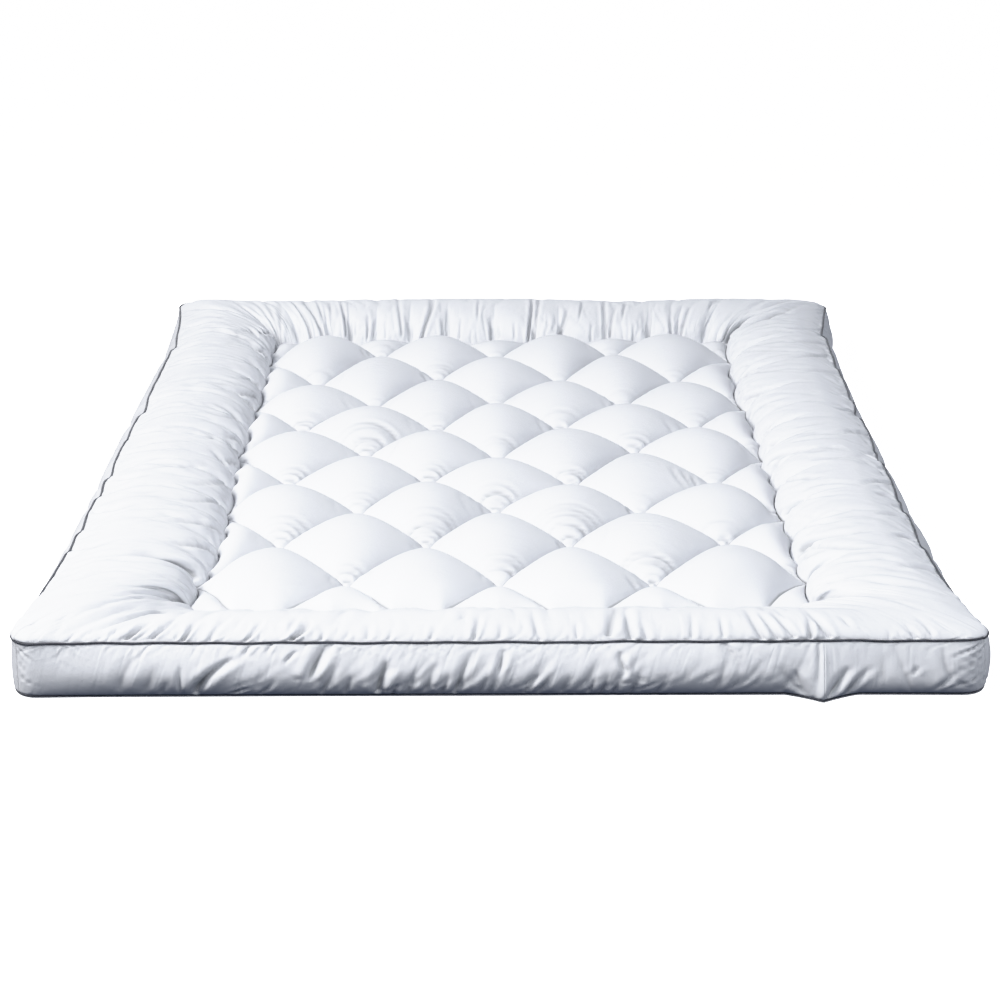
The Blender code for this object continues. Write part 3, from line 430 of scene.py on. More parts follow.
# ------------------------------------------------------------------ curves through tables
def through(rows, x, key=0, value=1):
    """Smooth, never overshooting curve through a table's rows."""
    ks = np.array([r[key] for r in rows], float)
    vs = np.array([r[value] for r in rows], float)
    h = np.diff(ks)
    d = np.diff(vs) / h
    m = np.zeros_like(vs)
    m[0], m[-1] = d[0], d[-1]
    for i in range(1, len(vs) - 1):
        if d[i - 1] * d[i] > 0:
            w0, w1 = 2 * h[i] + h[i - 1], h[i] + 2 * h[i - 1]
            m[i] = (w0 + w1) / (w0 / d[i - 1] + w1 / d[i])
    x = np.clip(np.asarray(x, float), ks[0], ks[-1])
    i = np.clip(np.searchsorted(ks, x, side="right") - 1, 0, len(h) - 1)
    t = (x - ks[i]) / h[i]
    return ((2 * t ** 3 - 3 * t ** 2 + 1) * vs[i] + (t ** 3 - 2 * t ** 2 + t) * h[i] * m[i]
            + (-2 * t ** 3 + 3 * t ** 2) * vs[i + 1] + (t ** 3 - t ** 2) * h[i] * m[i + 1])


def side_half(side):
    if side in ("front", "back"):
        return HALF_W - CORNER_R, HALF_L
    return HALF_L - CORNER_R, HALF_W


def seam(side, along):
    """Edge seam in plan and its outward normal, for an array of places along a side."""
    straight, out = side_half(side)
    over = np.maximum(0.0, np.abs(along) - straight)
    turn = over / CORNER_R
    sign = np.where(along >= 0, 1.0, -1.0)
    a = np.where(over == 0, along, sign * (straight + CORNER_R * np.sin(turn)))
    b = out - CORNER_R * (1 - np.cos(turn))
    face, run = np.array(FACING[side], float), np.array(ALONG[side], float)
    normal = np.cos(turn)[:, None] * face + (sign * np.sin(turn))[:, None] * run
    share = np.minimum(1.0, np.abs(along) / straight)
    inward = WAIST[side] * (1 - share ** 6)
    for where, spot, depth, half in BITES:
        if where == side:
            d = along - spot
            reach = np.where(d > 0, 1.3 * half, 0.32 * half)
            inward = inward + depth * np.exp(-(d / reach) ** 2) * (1 - share ** 8)
    return a[:, None] * run + b[:, None] * face - normal * inward[:, None], normal


def flare(side, along):
    if side != "front":
        return np.zeros_like(along)
    d = along - JOINT_X
    reach = np.where(d < 0, FLARE_LEFT, FLARE_RIGHT)
    return FLARE_REACH * np.maximum(0.0, 1 - np.abs(d) / reach) ** 1.25


def lean(side, along):
    share = np.minimum(1.0, np.abs(along) / side_half(side)[0])
    return LEAN[side] * (1 - share ** 6)


def scallop(side, along):
    """The field seam at places along a side: stand-off of the seam, and 0 at a bite to 1 mid-lobe."""
    rows = SCALLOPS[side]
    at = np.array([r[0] for r in rows])
    a = np.clip(along, at[0], at[-1] - 1e-6)
    i = np.clip(np.searchsorted(at, a, side="right") - 1, 0, len(at) - 2)
    t = (a - at[i]) / (at[i + 1] - at[i])
    stand = np.interp(a, at, [r[1] for r in rows])
    deep = np.array([r[2] for r in rows])[i]
    lobe = np.sin(math.pi * t) ** 0.62
    return stand - deep * lobe, lobe


# ------------------------------------------------------------------ stations round the edge
class Ring:
    """Stations counter-clockwise round the edge, starting at the front-left corner."""

    def __init__(self):
        parts = {"side": [], "along": [], "seam": [], "out": [], "inner": [], "inner_out": [],
                 "lobe": []}
        self.first = {}
        self.end = {}
        count = 0
        for k, side in enumerate(SIDES):
            straight, _ = side_half(side)
            end = straight + CORNER_R * math.pi / 4
            n = STATIONS[side]
            self.first[side], self.end[side] = count, end
            count += n
            along = -end + 2 * end * np.arange(n) / n
            if side in ("back", "left"):
                along = -along
            point, normal = seam(side, along)
            half, out = (FIELD_X, FIELD_Y) if side in ("front", "back") else (FIELD_Y, FIELD_X)
            free = half - INNER_R
            inner_end = free + INNER_R * math.pi / 4
            # the cloth fans out gradually towards the corners
            q = (1 + 0.16) / 2
            a0 = (inner_end - end * q) / (1 - q)
            x = np.clip((np.abs(along) - a0) / (end - a0), 0, 1)
            sign = np.where(along >= 0, 1.0, -1.0)
            mapped = sign * np.where(np.abs(along) <= a0, np.abs(along),
                                     a0 + (end - a0) * (x - 0.84 * x * x / 2))
            over = np.maximum(0.0, np.abs(mapped) - free) / INNER_R
            a = np.where(over == 0, mapped, sign * (free + INNER_R * np.sin(over)))
            b = out - INNER_R * (1 - np.cos(over))
            face, run = np.array(FACING[side], float), np.array(ALONG[side], float)
            inner_out = np.cos(over)[:, None] * face + (sign * np.sin(over))[:, None] * run
            stand, lobe = scallop(side, a)
            fade = np.clip((inner_end - np.abs(mapped)) / 0.02, 0, 1)
            parts["inner"].append(a[:, None] * run + b[:, None] * face
                                  + inner_out * (stand * fade)[:, None])
            parts["inner_out"].append(inner_out)
            parts["lobe"].append(lobe * fade + 0.3 * (1 - fade))
            parts["side"].append(np.full(n, k))
            parts["along"].append(along)
            parts["seam"].append(point)
            parts["out"].append(normal)
        for name, value in parts.items():
            setattr(self, name, np.concatenate(value))
        self.count = count
        # the front left corner is drawn in a little
        away = np.hypot(self.seam[:, 0] + HALF_W, self.seam[:, 1] + HALF_L)
        self.seam[:, 0] += CORNER_IN * np.exp(-(away / 0.13) ** 2)

    def per_side(self, make):
        """A value at each station from a function of side and place along it."""
        value = np.zeros(self.count)
        for k, side in enumerate(SIDES):
            here = self.side == k
            value[here] = make(side, self.along[here])
        return value

    def index(self, side, along):
        """The station number, with its fraction, of a place along a side."""
        n, end = STATIONS[side], self.end[side]
        if side in ("back", "left"):
            along = -along
        return self.first[side] + (along + end) / (2 * end) * n


ring = Ring()
LIFTED = ring.per_side(lambda side, a: through(LIFT[side], a))
RISEN = (ring.per_side(lambda side, a: through(SEAM_RISE[side], a))
         + ring.per_side(lambda side, a: 0.0007 * np.sin(a * 31 + 1.4) * np.sin(a * 7 + 0.5)
                         + 0.0005 * np.sin(a * 71 + 0.3)))
SPREAD = ring.per_side(flare) + ring.per_side(lean)
RUN = np.concatenate([[0], np.cumsum(np.linalg.norm(np.diff(ring.seam, axis=0), axis=1))])


# ------------------------------------------------------------------ cloth relaxing
def pull(a, b, wa, wb, rest, k, only=0):
    """Moves two arrays of points towards their rest distance."""
    d = b - a
    length = np.sqrt(np.einsum("...i,...i->...", d, d)) + 1e-9
    s = (length - rest) / length
    if only < 0:
        s = np.minimum(s, 0)
    s *= k / (wa + wb + 1e-9)
    d *= s[..., None]
    a += d * wa[..., None]
    b -= d * wb[..., None]


def normals_of(p, loop):
    """Unit normals of a grid of points; the first axis may be a closed loop."""
    if loop:
        du = np.roll(p, -1, 0) - np.roll(p, 1, 0)
    else:
        du = np.gradient(p, axis=0)
    dv = np.gradient(p, axis=1)
    n = np.cross(du, dv)
    return n / (np.linalg.norm(n, axis=-1, keepdims=True) + 1e-12)


def relax(p, w, shape, normal, rest_u, rest_v, rounds, loop=False, hold=0.02, push=0.0,
          bend=(0.05, 0.05), shear=0.25, shear_rest=None, bend_rest=None):
    """Lets a grid of cloth find its own folds between its seams.

    w is 0 where the cloth is sewn down; shape is the fill's surface, which holds
    the cloth weakly along its normal and pushes it outwards by push each round."""
    p = p.astype(np.float32)
    w = w.astype(np.float32)
    shape = shape.astype(np.float32)
    normal = normal.astype(np.float32)
    ru, rv = rest_u.astype(np.float32), rest_v.astype(np.float32)
    nu, nv = w.shape
    if shear_rest is None:
        d1 = np.sqrt(ru[:nu - 1, :nv - 1] ** 2 + rv[:nu - 1, :nv - 1] ** 2)
        shear_rest = (d1, d1)
    d1, d2 = (x.astype(np.float32) for x in shear_rest)
    for step in range(rounds):
        # across the grid's first axis
        for start in (0, 1):
            a, b = p[start:nu - 1:2], p[start + 1::2]
            n = min(len(a), len(b))
            pull(a[:n], b[:n], w[start:nu - 1:2][:n], w[start + 1::2][:n],
                 ru[start:nu - 1:2][:n], 1.0)
        if loop:
            pull(p[-1:], p[:1], w[-1:], w[:1], ru[-1:], 1.0)
        # along the second axis
        for start in (0, 1):
            a, b = p[:, start:nv - 1:2], p[:, start + 1::2]
            n = min(a.shape[1], b.shape[1])
            pull(a[:, :n], b[:, :n], w[:, start:nv - 1:2][:, :n], w[:, start + 1::2][:, :n],
                 rv[:, start:nv - 1:2][:, :n], 1.0)
        if shear > 0:
            for start in (0, 1):
                a, b = p[start:nu - 1:2, :nv - 1], p[start + 1::2, 1:]
                n = min(len(a), len(b))
                pull(a[:n], b[:n], w[start:nu - 1:2, :nv - 1][:n], w[start + 1::2, 1:][:n],
                     d1[start::2][:n], shear)
                a, b = p[start:nu - 1:2, 1:], p[start + 1::2, :nv - 1]
                pull(a[:n], b[:n], w[start:nu - 1:2, 1:][:n], w[start + 1::2, :nv - 1][:n],
                     d2[start::2][:n], shear)
        for axis in (0, 1):
            k = bend[axis]
            if k <= 0:
                continue
            for start in (0, 1, 2, 3):
                if axis == 0:
                    a, b = p[start:nu - 2:4], p[start + 2::4]
                    n = min(len(a), len(b))
                    rest = ru[start:nu - 2:4][:n] + ru[start + 1:nu - 1:4][:n]
                    pull(a[:n], b[:n], w[start:nu - 2:4][:n], w[start + 2::4][:n], rest, k, -1)
                else:
                    a, b = p[:, start:nv - 2:4], p[:, start + 2::4]
                    n = min(a.shape[1], b.shape[1])
                    rest = rv[:, start:nv - 2:4][:, :n] + rv[:, start + 1:nv - 1:4][:, :n]
                    pull(a[:, :n], b[:, :n], w[:, start:nv - 2:4][:, :n],
                         w[:, start + 2::4][:, :n], rest, k, -1)
        off = np.einsum("...i,...i->...", p - shape, normal)
        p += normal * ((push - hold * off) * w)[..., None]
    return p.astype(float)


def smooth_noise(nu, nv, len_u, len_v, loop):
    """Seeded noise of unit size, smooth over the given numbers of cells."""
    pad_u, pad_v = (0 if loop else int(4 * len_u)), int(4 * len_v)
    raw = RNG.normal(size=(nu + pad_u, nv + pad_v))
    fu = np.fft.fftfreq(raw.shape[0])[:, None]
    fv = np.fft.fftfreq(raw.shape[1])[None, :]
    keep = np.exp(-2 * (math.pi * fu * len_u) ** 2 - 2 * (math.pi * fv * len_v) ** 2)
    out = np.fft.ifft2(np.fft.fft2(raw) * keep).real[:nu, :nv]
    return out / out.std()


def spacing(p, axis, loop=False):
    if loop and axis == 0:
        return np.linalg.norm(np.roll(p, -1, 0) - p, axis=-1)
    d = np.linalg.norm(np.diff(p, axis=axis), axis=-1)
    return np.concatenate([d, d.take([-1], axis=axis)], axis=axis)


# ------------------------------------------------------------------ creases on a ring of cloth
def crease_section(x):
    """Height across a crease whose half-width is 1: a soft sharp-bottomed trough, raised sides."""
    return (-np.exp(-np.abs(x) ** 1.35) + 0.42 * np.exp(-((x - 1.9) / 1.15) ** 2)
            + 0.30 * np.exp(-((x + 2.1) / 1.3) ** 2))


def carve(offset, run, t, rows, lift=1.0, shade=None, full=0.006):
    """Adds creases to the offsets of a ring of cloth (station, row).

    run is the distance along each row, t the share of each row. A crease runs from
    (station, share), where it is deepest, to (station, share), where it fades. shade
    takes the painted shade in each crease's trough, 1 for one of the full depth."""
    n = offset.shape[0]
    closed = run[-1] + (run[-1] - run[-2])
    for i0, t0, i1, t1, bow, depth, half, rise in rows:
        dt = t1 - t0
        tau = (t - t0) / dt
        for r in np.flatnonzero((tau > -0.02) & (tau < 1.0)):
            x = min(max(tau[r], 0.0), 1.0)
            amp = depth * (1 - x) ** 0.6 * min(1.0, rise + (1 - rise) * x / 0.25)
            if amp < 1e-5:
                continue
            centre = i0 + (i1 - i0) * x + bow * 4 * x * (1 - x)
            row = run[:, r]
            c0 = int(math.floor(centre))
            f = centre - c0
            here = row[c0 % n] + f * ((row[(c0 + 1) % n] - row[c0 % n]) % closed[r])
            cell = max(1e-4, (row[(c0 + 3) % n] - row[(c0 - 3) % n]) % closed[r] / 6)
            wide = half * (1 + 0.6 * x)
            reach = int(4.5 * wide / cell) + 2
            idx = np.arange(c0 - reach, c0 + reach + 1) % n
            d = row[idx] - here
            d = (d + closed[r] / 2) % closed[r] - closed[r] / 2
            offset[idx, r] += amp * lift * crease_section(d / wide)
            # painted shade: darkest along the crease's trough, fading to each side
            if shade is not None:
                painted_crease_shade = amp / full * np.exp(-(d / (0.6 * wide)) ** 2)
                shade[idx, r] = np.maximum(shade[idx, r], painted_crease_shade)


def run_along(shape):
    step = np.linalg.norm(np.diff(shape, axis=0), axis=-1)
    return np.concatenate([np.zeros((1, shape.shape[1])), np.cumsum(step, 0)])


# creases are wider on the long sides and tighter at the back
STRONGER = {"front": (1.05, 0.85), "right": (1.45, 0.95), "back": (0.85, 0.55), "left": (1.35, 0.95)}


def placed(table, at_seam=1.0):
    """A table of listed creases in station numbers; at_seam is how deep they start at a seam."""
    rows = []
    for (side0, a0, t0), (side1, a1, t1), bow, depth, half in table:
        i0, i1 = ring.index(side0, a0), ring.index(side1, a1)
        i1 -= ring.count * round((i1 - i0) / ring.count)
        per = STATIONS[side0] / (2 * ring.end[side0])
        deeper, wider = STRONGER[side0]
        depth, half = depth * deeper, half * wider
        rise = at_seam if min(t0, 1 - t0) < 0.10 else 0.25
        rows.append((i0, t0, i1, t1, bow * per, depth, half, rise))
    return rows


def gathers(side, low, high, step, share, reach, depth, half, lean, spread=0.45):
    """Small uneven gathers at a seam: the side's stretch, spacing, seam share, lengths, sizes."""
    rows = []
    a = low
    per = STATIONS[side] / (2 * ring.end[side])
    turn = -1 if side in ("back", "left") else 1
    while a < high:
        long = RNG.uniform(*reach)
        tilt = lean(a) if callable(lean) else lean
        end = share + (long if share < 0.5 else -long)
        i0 = ring.index(side, a)
        rows.append((i0, share, i0 + tilt * long * per * turn + RNG.normal() * 0.15 * long * per,
                     end, RNG.normal() * 0.10 * long * per, RNG.uniform(*depth),
                     half * RNG.uniform(0.75, 1.35), 0.75))
        a += step * RNG.uniform(1 - spread, 1 + spread)
    return rows


# ------------------------------------------------------------------ mesh making
def new_piece(name, verts, faces, mat, layers=None):
    """A mesh object from a point array and arrays of triangles or quads."""
    mesh = bpy.data.meshes.new(name)
    verts = np.asarray(verts, np.float64) + SHIFT
    faces = [np.asarray(f, np.int32) for f in faces if len(f)]
    loops = np.concatenate([f.ravel() for f in faces])
    sizes = np.concatenate([np.full(len(f), f.shape[1], np.int32) for f in faces])
    starts = np.concatenate([[0], np.cumsum(sizes)[:-1]]).astype(np.int32)
    mesh.vertices.add(len(verts))
    mesh.vertices.foreach_set("co", verts.astype(np.float32).ravel())
    mesh.loops.add(len(loops))
    mesh.loops.foreach_set("vertex_index", loops)
    mesh.polygons.add(len(sizes))
    mesh.polygons.foreach_set("loop_start", starts)
    mesh.update(calc_edges=True)
    mesh.validate()
    mesh.shade_smooth()
    for layer, values in (layers or {}).items():
        attribute = mesh.attributes.new(layer, "FLOAT_VECTOR", "POINT")
        attribute.data.foreach_set("vector", np.asarray(values, np.float32).ravel())
    mesh.materials.append(mat)
    obj = bpy.data.objects.new(name, mesh)
    bpy.context.scene.collection.objects.link(obj)
    return obj


def strip_faces(nu, nv, loop_u=False, loop_v=False):
    """Quads of a grid of nu by nv points, numbered along the second axis first."""
    iu = np.arange(nu if loop_u else nu - 1)
    iv = np.arange(nv if loop_v else nv - 1)
    a, b = np.meshgrid(iu, iv, indexing="ij")
    a2, b2 = (a + 1) % nu, (b + 1) % nv
    return np.stack([a * nv + b, a2 * nv + b, a2 * nv + b2, a * nv + b2], -1).reshape(-1, 4)


# ------------------------------------------------------------------ finish
def cloth_material(name, tint, rough, weave=1.0, crinkle=1.0, wrinkle=None):
    mat = bpy.data.materials.new(name)
    mat.use_nodes = True
    nodes, links = mat.node_tree.nodes, mat.node_tree.links
    shader = nodes["Principled BSDF"]
    shader.inputs["Roughness"].default_value = rough
    shader.inputs["Sheen Weight"].default_value = 0.12
    shader.inputs["Sheen Roughness"].default_value = 0.45
    shader.inputs["Specular IOR Level"].default_value = 0.25
    where = nodes.new("ShaderNodeTexCoord")
    # soft unevenness of the bleached cloth
    mottle = nodes.new("ShaderNodeTexNoise")
    mottle.inputs["Scale"].default_value = 9.0
    mottle.inputs["Detail"].default_value = 4.0
    links.new(where.outputs["Object"], mottle.inputs["Vector"])
    ramp = nodes.new("ShaderNodeValToRGB")
    ramp.color_ramp.elements[0].position = 0.3
    ramp.color_ramp.elements[0].color = (*[c * 0.975 for c in tint], 1)
    ramp.color_ramp.elements[1].position = 0.7
    ramp.color_ramp.elements[1].color = (*tint, 1)
    links.new(mottle.outputs["Fac"], ramp.inputs["Fac"])
    # painted shade: the base colour is darkened, by up to 48 %, along the stitched channels, the field
    # seam and the crease troughs, where shade falls
    painted_shade_attribute = nodes.new("ShaderNodeAttribute")
    painted_shade_attribute.attribute_name = "strip_and_painted_shade"
    parts = nodes.new("ShaderNodeSeparateXYZ")
    links.new(painted_shade_attribute.outputs["Vector"], parts.inputs[0])
    dim = nodes.new("ShaderNodeMath")
    dim.operation = "MULTIPLY_ADD"
    dim.inputs[1].default_value, dim.inputs[2].default_value = -0.48, 1.0
    links.new(parts.outputs["Z"], dim.inputs[0])
    dimmed = nodes.new("ShaderNodeVectorMath")
    dimmed.operation = "SCALE"
    links.new(ramp.outputs["Color"], dimmed.inputs[0])
    links.new(dim.outputs[0], dimmed.inputs["Scale"])
    links.new(dimmed.outputs["Vector"], shader.inputs["Base Color"])
    # closely woven threads
    threads = []
    for turn in (0.0, math.pi / 2):
        place = nodes.new("ShaderNodeMapping")
        place.inputs["Rotation"].default_value = (0, 0, turn)
        place.inputs["Scale"].default_value = (1, 1, 1)
        wave = nodes.new("ShaderNodeTexWave")
        wave.inputs["Scale"].default_value = 420.0
        wave.inputs["Distortion"].default_value = 0.6
        wave.inputs["Detail"].default_value = 1.0
        links.new(where.outputs["Object"], place.inputs["Vector"])
        links.new(place.outputs["Vector"], wave.inputs["Vector"])
        threads.append(wave)
    both = nodes.new("ShaderNodeMath")
    both.operation = "MULTIPLY"
    links.new(threads[0].outputs["Fac"], both.inputs[0])
    links.new(threads[1].outputs["Fac"], both.inputs[1])
    # small crinkles that the mesh is too coarse for
    crinkles = nodes.new("ShaderNodeTexNoise")
    crinkles.inputs["Scale"].default_value = 55.0
    crinkles.inputs["Detail"].default_value = 5.0
    crinkles.inputs["Roughness"].default_value = 0.55
    links.new(where.outputs["Object"], crinkles.inputs["Vector"])
    bump_weave = nodes.new("ShaderNodeBump")
    bump_weave.inputs["Strength"].default_value = 0.25 * weave
    bump_weave.inputs["Distance"].default_value = 0.0002
    links.new(both.outputs[0], bump_weave.inputs["Height"])
    bump_crinkle = nodes.new("ShaderNodeBump")
    bump_crinkle.inputs["Strength"].default_value = 0.30 * crinkle
    bump_crinkle.inputs["Distance"].default_value = 0.0022
    links.new(crinkles.outputs["Fac"], bump_crinkle.inputs["Height"])
    links.new(bump_weave.outputs["Normal"], bump_crinkle.inputs["Normal"])
    last = bump_crinkle
    if wrinkle:
        # fine gathers that run away from the seams: per metre along, per share across, height
        along, across, height, seams = wrinkle
        strip_and_painted_shade = nodes.new("ShaderNodeAttribute")
        strip_and_painted_shade.attribute_name = "strip_and_painted_shade"
        stretch = nodes.new("ShaderNodeVectorMath")
        stretch.operation = "MULTIPLY"
        stretch.inputs[1].default_value = (along, across, 0)
        links.new(strip_and_painted_shade.outputs["Vector"], stretch.inputs[0])
        folds = nodes.new("ShaderNodeTexNoise")
        folds.noise_type = "RIDGED_MULTIFRACTAL"
        folds.inputs["Scale"].default_value = 1.0
        folds.inputs["Detail"].default_value = 2.0
        folds.inputs["Roughness"].default_value = 0.45
        folds.inputs["Distortion"].default_value = 0.35
        links.new(stretch.outputs["Vector"], folds.inputs["Vector"])
        apart = nodes.new("ShaderNodeSeparateXYZ")
        links.new(strip_and_painted_shade.outputs["Vector"], apart.inputs[0])
        where_strong = nodes.new("ShaderNodeValToRGB")
        marks = where_strong.color_ramp
        marks.elements[0].position, marks.elements[0].color = 0.0, (seams[0],) * 3 + (1,)
        marks.elements[1].position, marks.elements[1].color = 1.0, (seams[2],) * 3 + (1,)
        middle = marks.elements.new(0.42)
        middle.color = (seams[1],) * 3 + (1,)
        links.new(apart.outputs["Y"], where_strong.inputs["Fac"])
        scaled = nodes.new("ShaderNodeMath")
        scaled.operation = "MULTIPLY"
        links.new(folds.outputs["Fac"], scaled.inputs[0])
        links.new(where_strong.outputs["Color"], scaled.inputs[1])
        bump_fold = nodes.new("ShaderNodeBump")
        bump_fold.inputs["Strength"].default_value = 0.6
        bump_fold.inputs["Distance"].default_value = height
        bump_fold.invert = True
        links.new(scaled.outputs[0], bump_fold.inputs["Height"])
        links.new(last.outputs["Normal"], bump_fold.inputs["Normal"])
        last = bump_fold
    links.new(last.outputs["Normal"], shader.inputs["Normal"])
    return mat


def piping_material():
    mat = bpy.data.materials.new("piping_cord")
    mat.use_nodes = True
    nodes, links = mat.node_tree.nodes, mat.node_tree.links
    shader = nodes["Principled BSDF"]
    shader.inputs["Roughness"].default_value = 0.6
    shader.inputs["Sheen Weight"].default_value = 0.2
    where = nodes.new("ShaderNodeTexCoord")
    noise = nodes.new("ShaderNodeTexNoise")
    noise.inputs["Scale"].default_value = 160.0
    noise.inputs["Detail"].default_value = 3.0
    links.new(where.outputs["Object"], noise.inputs["Vector"])
    ramp = nodes.new("ShaderNodeValToRGB")
    ramp.color_ramp.elements[0].position = 0.35
    ramp.color_ramp.elements[0].color = (0.018, 0.020, 0.030, 1)
    ramp.color_ramp.elements[1].position = 0.7
    ramp.color_ramp.elements[1].color = (0.060, 0.064, 0.085, 1)
    links.new(noise.outputs["Fac"], ramp.inputs["Fac"])
    links.new(ramp.outputs["Color"], shader.inputs["Base Color"])
    bump = nodes.new("ShaderNodeBump")
    bump.inputs["Strength"].default_value = 0.5
    bump.inputs["Distance"].default_value = 0.0004
    links.new(noise.outputs["Fac"], bump.inputs["Height"])
    links.new(bump.outputs["Normal"], shader.inputs["Normal"])
    return mat


TOP_CLOTH = cloth_material("top_percale", (0.79, 0.80, 0.825), 0.80)
ROLL_CLOTH = cloth_material("roll_percale", (0.79, 0.80, 0.825), 0.80,
                            wrinkle=(64.0, 2.4, 0.0024, (1.0, 0.40, 1.5)))
SIDE_CLOTH = cloth_material("side_percale", (0.79, 0.80, 0.825), 0.50,
                            wrinkle=(75.0, 1.5, 0.0030, (1.1, 0.8, 0.9)))
BASE_CLOTH = cloth_material("base_woven", (0.76, 0.77, 0.79), 0.85, weave=1.5)
PIPING = piping_material()


# ------------------------------------------------------------------ quilted field
def field_offsets(a, b):
    """How far the uneven quilting stands off the even lattice."""
    num_x = np.zeros_like(a)
    num_y = np.zeros_like(a)
    den = np.full_like(a, 0.06)
    for ca, cb, dx, dy in KNOTS:
        k = np.exp(-((a - ca) ** 2 + (b - cb) ** 2) / (2 * 0.62 ** 2))
        num_x += k * dx
        num_y += k * dy
        den += k
    return num_x / den, num_y / den


def denser(u):
    """Closes grid lines up near the crossings."""
    return u - FIELD_DENSER * np.sin(2 * math.pi * u) / (2 * math.pi)


def field_crescent(off, shade, x, y, cx, cy, facing, radius, depth, half, deepest):
    """Adds a curved crease round a crossing, from one channel to the next, and its painted shade."""
    dx, dy = x - cx, y - cy
    r = np.hypot(dx, dy)
    open_angle = math.atan2(HALF_PITCH_X, HALF_PITCH_Y)
    if facing == "back":
        u = np.arctan2(dx, dy) / open_angle
    elif facing == "left":
        u = np.arctan2(dy, -dx) / (math.pi / 2 - open_angle)
    else:
        u = np.arctan2(dy, dx) / (math.pi / 2 - open_angle)
    phase = 50 * radius + 9 * cx + 5 * cy
    line = radius * (1 + 0.035 * np.sin(2.1 * u + phase) - 0.05 * u * u)
    ends = np.clip((1.03 - np.abs(u)) / 0.16, 0, 1)
    # the creases beside a crossing are short, faint and lopsided
    behind = facing == "back"
    middle = deepest if behind else deepest + 0.75 * math.sin(3.7 * phase)
    strong = np.exp(-((u - middle) / (0.95 if behind else 0.50)) ** 2)
    lift = 1.25 if behind else 0.75
    off += lift * depth * ends * strong * crease_section((r - line) / half) * (r < radius + 5 * half)
    # painted shade: a thin dark band along the crescent's trough
    thin = 0.0021 + 0.018 * radius
    painted_crease_shade = depth / (0.0042 if behind else 0.0070)
    np.maximum(shade, painted_crease_shade * ends * strong * np.exp(-((r - line) / thin) ** 2), out=shade)


def small_crescents():
    """Slighter curved creases that stand round every crossing, seeded."""
    rows = []
    for col in range(-4, 5):
        for row in range(-4, 5):
            if (col + row) % 2:
                continue
            for facing, count in (("back", 3), ("left", 2), ("right", 1)):
                for _ in range(count):
                    rows.append((col, row, facing, RNG.uniform(0.014, 0.070),
                                 RNG.uniform(0.0003, 0.0012), RNG.uniform(0.004, 0.006),
                                 RNG.uniform(-0.9, 0.9)))
    return rows


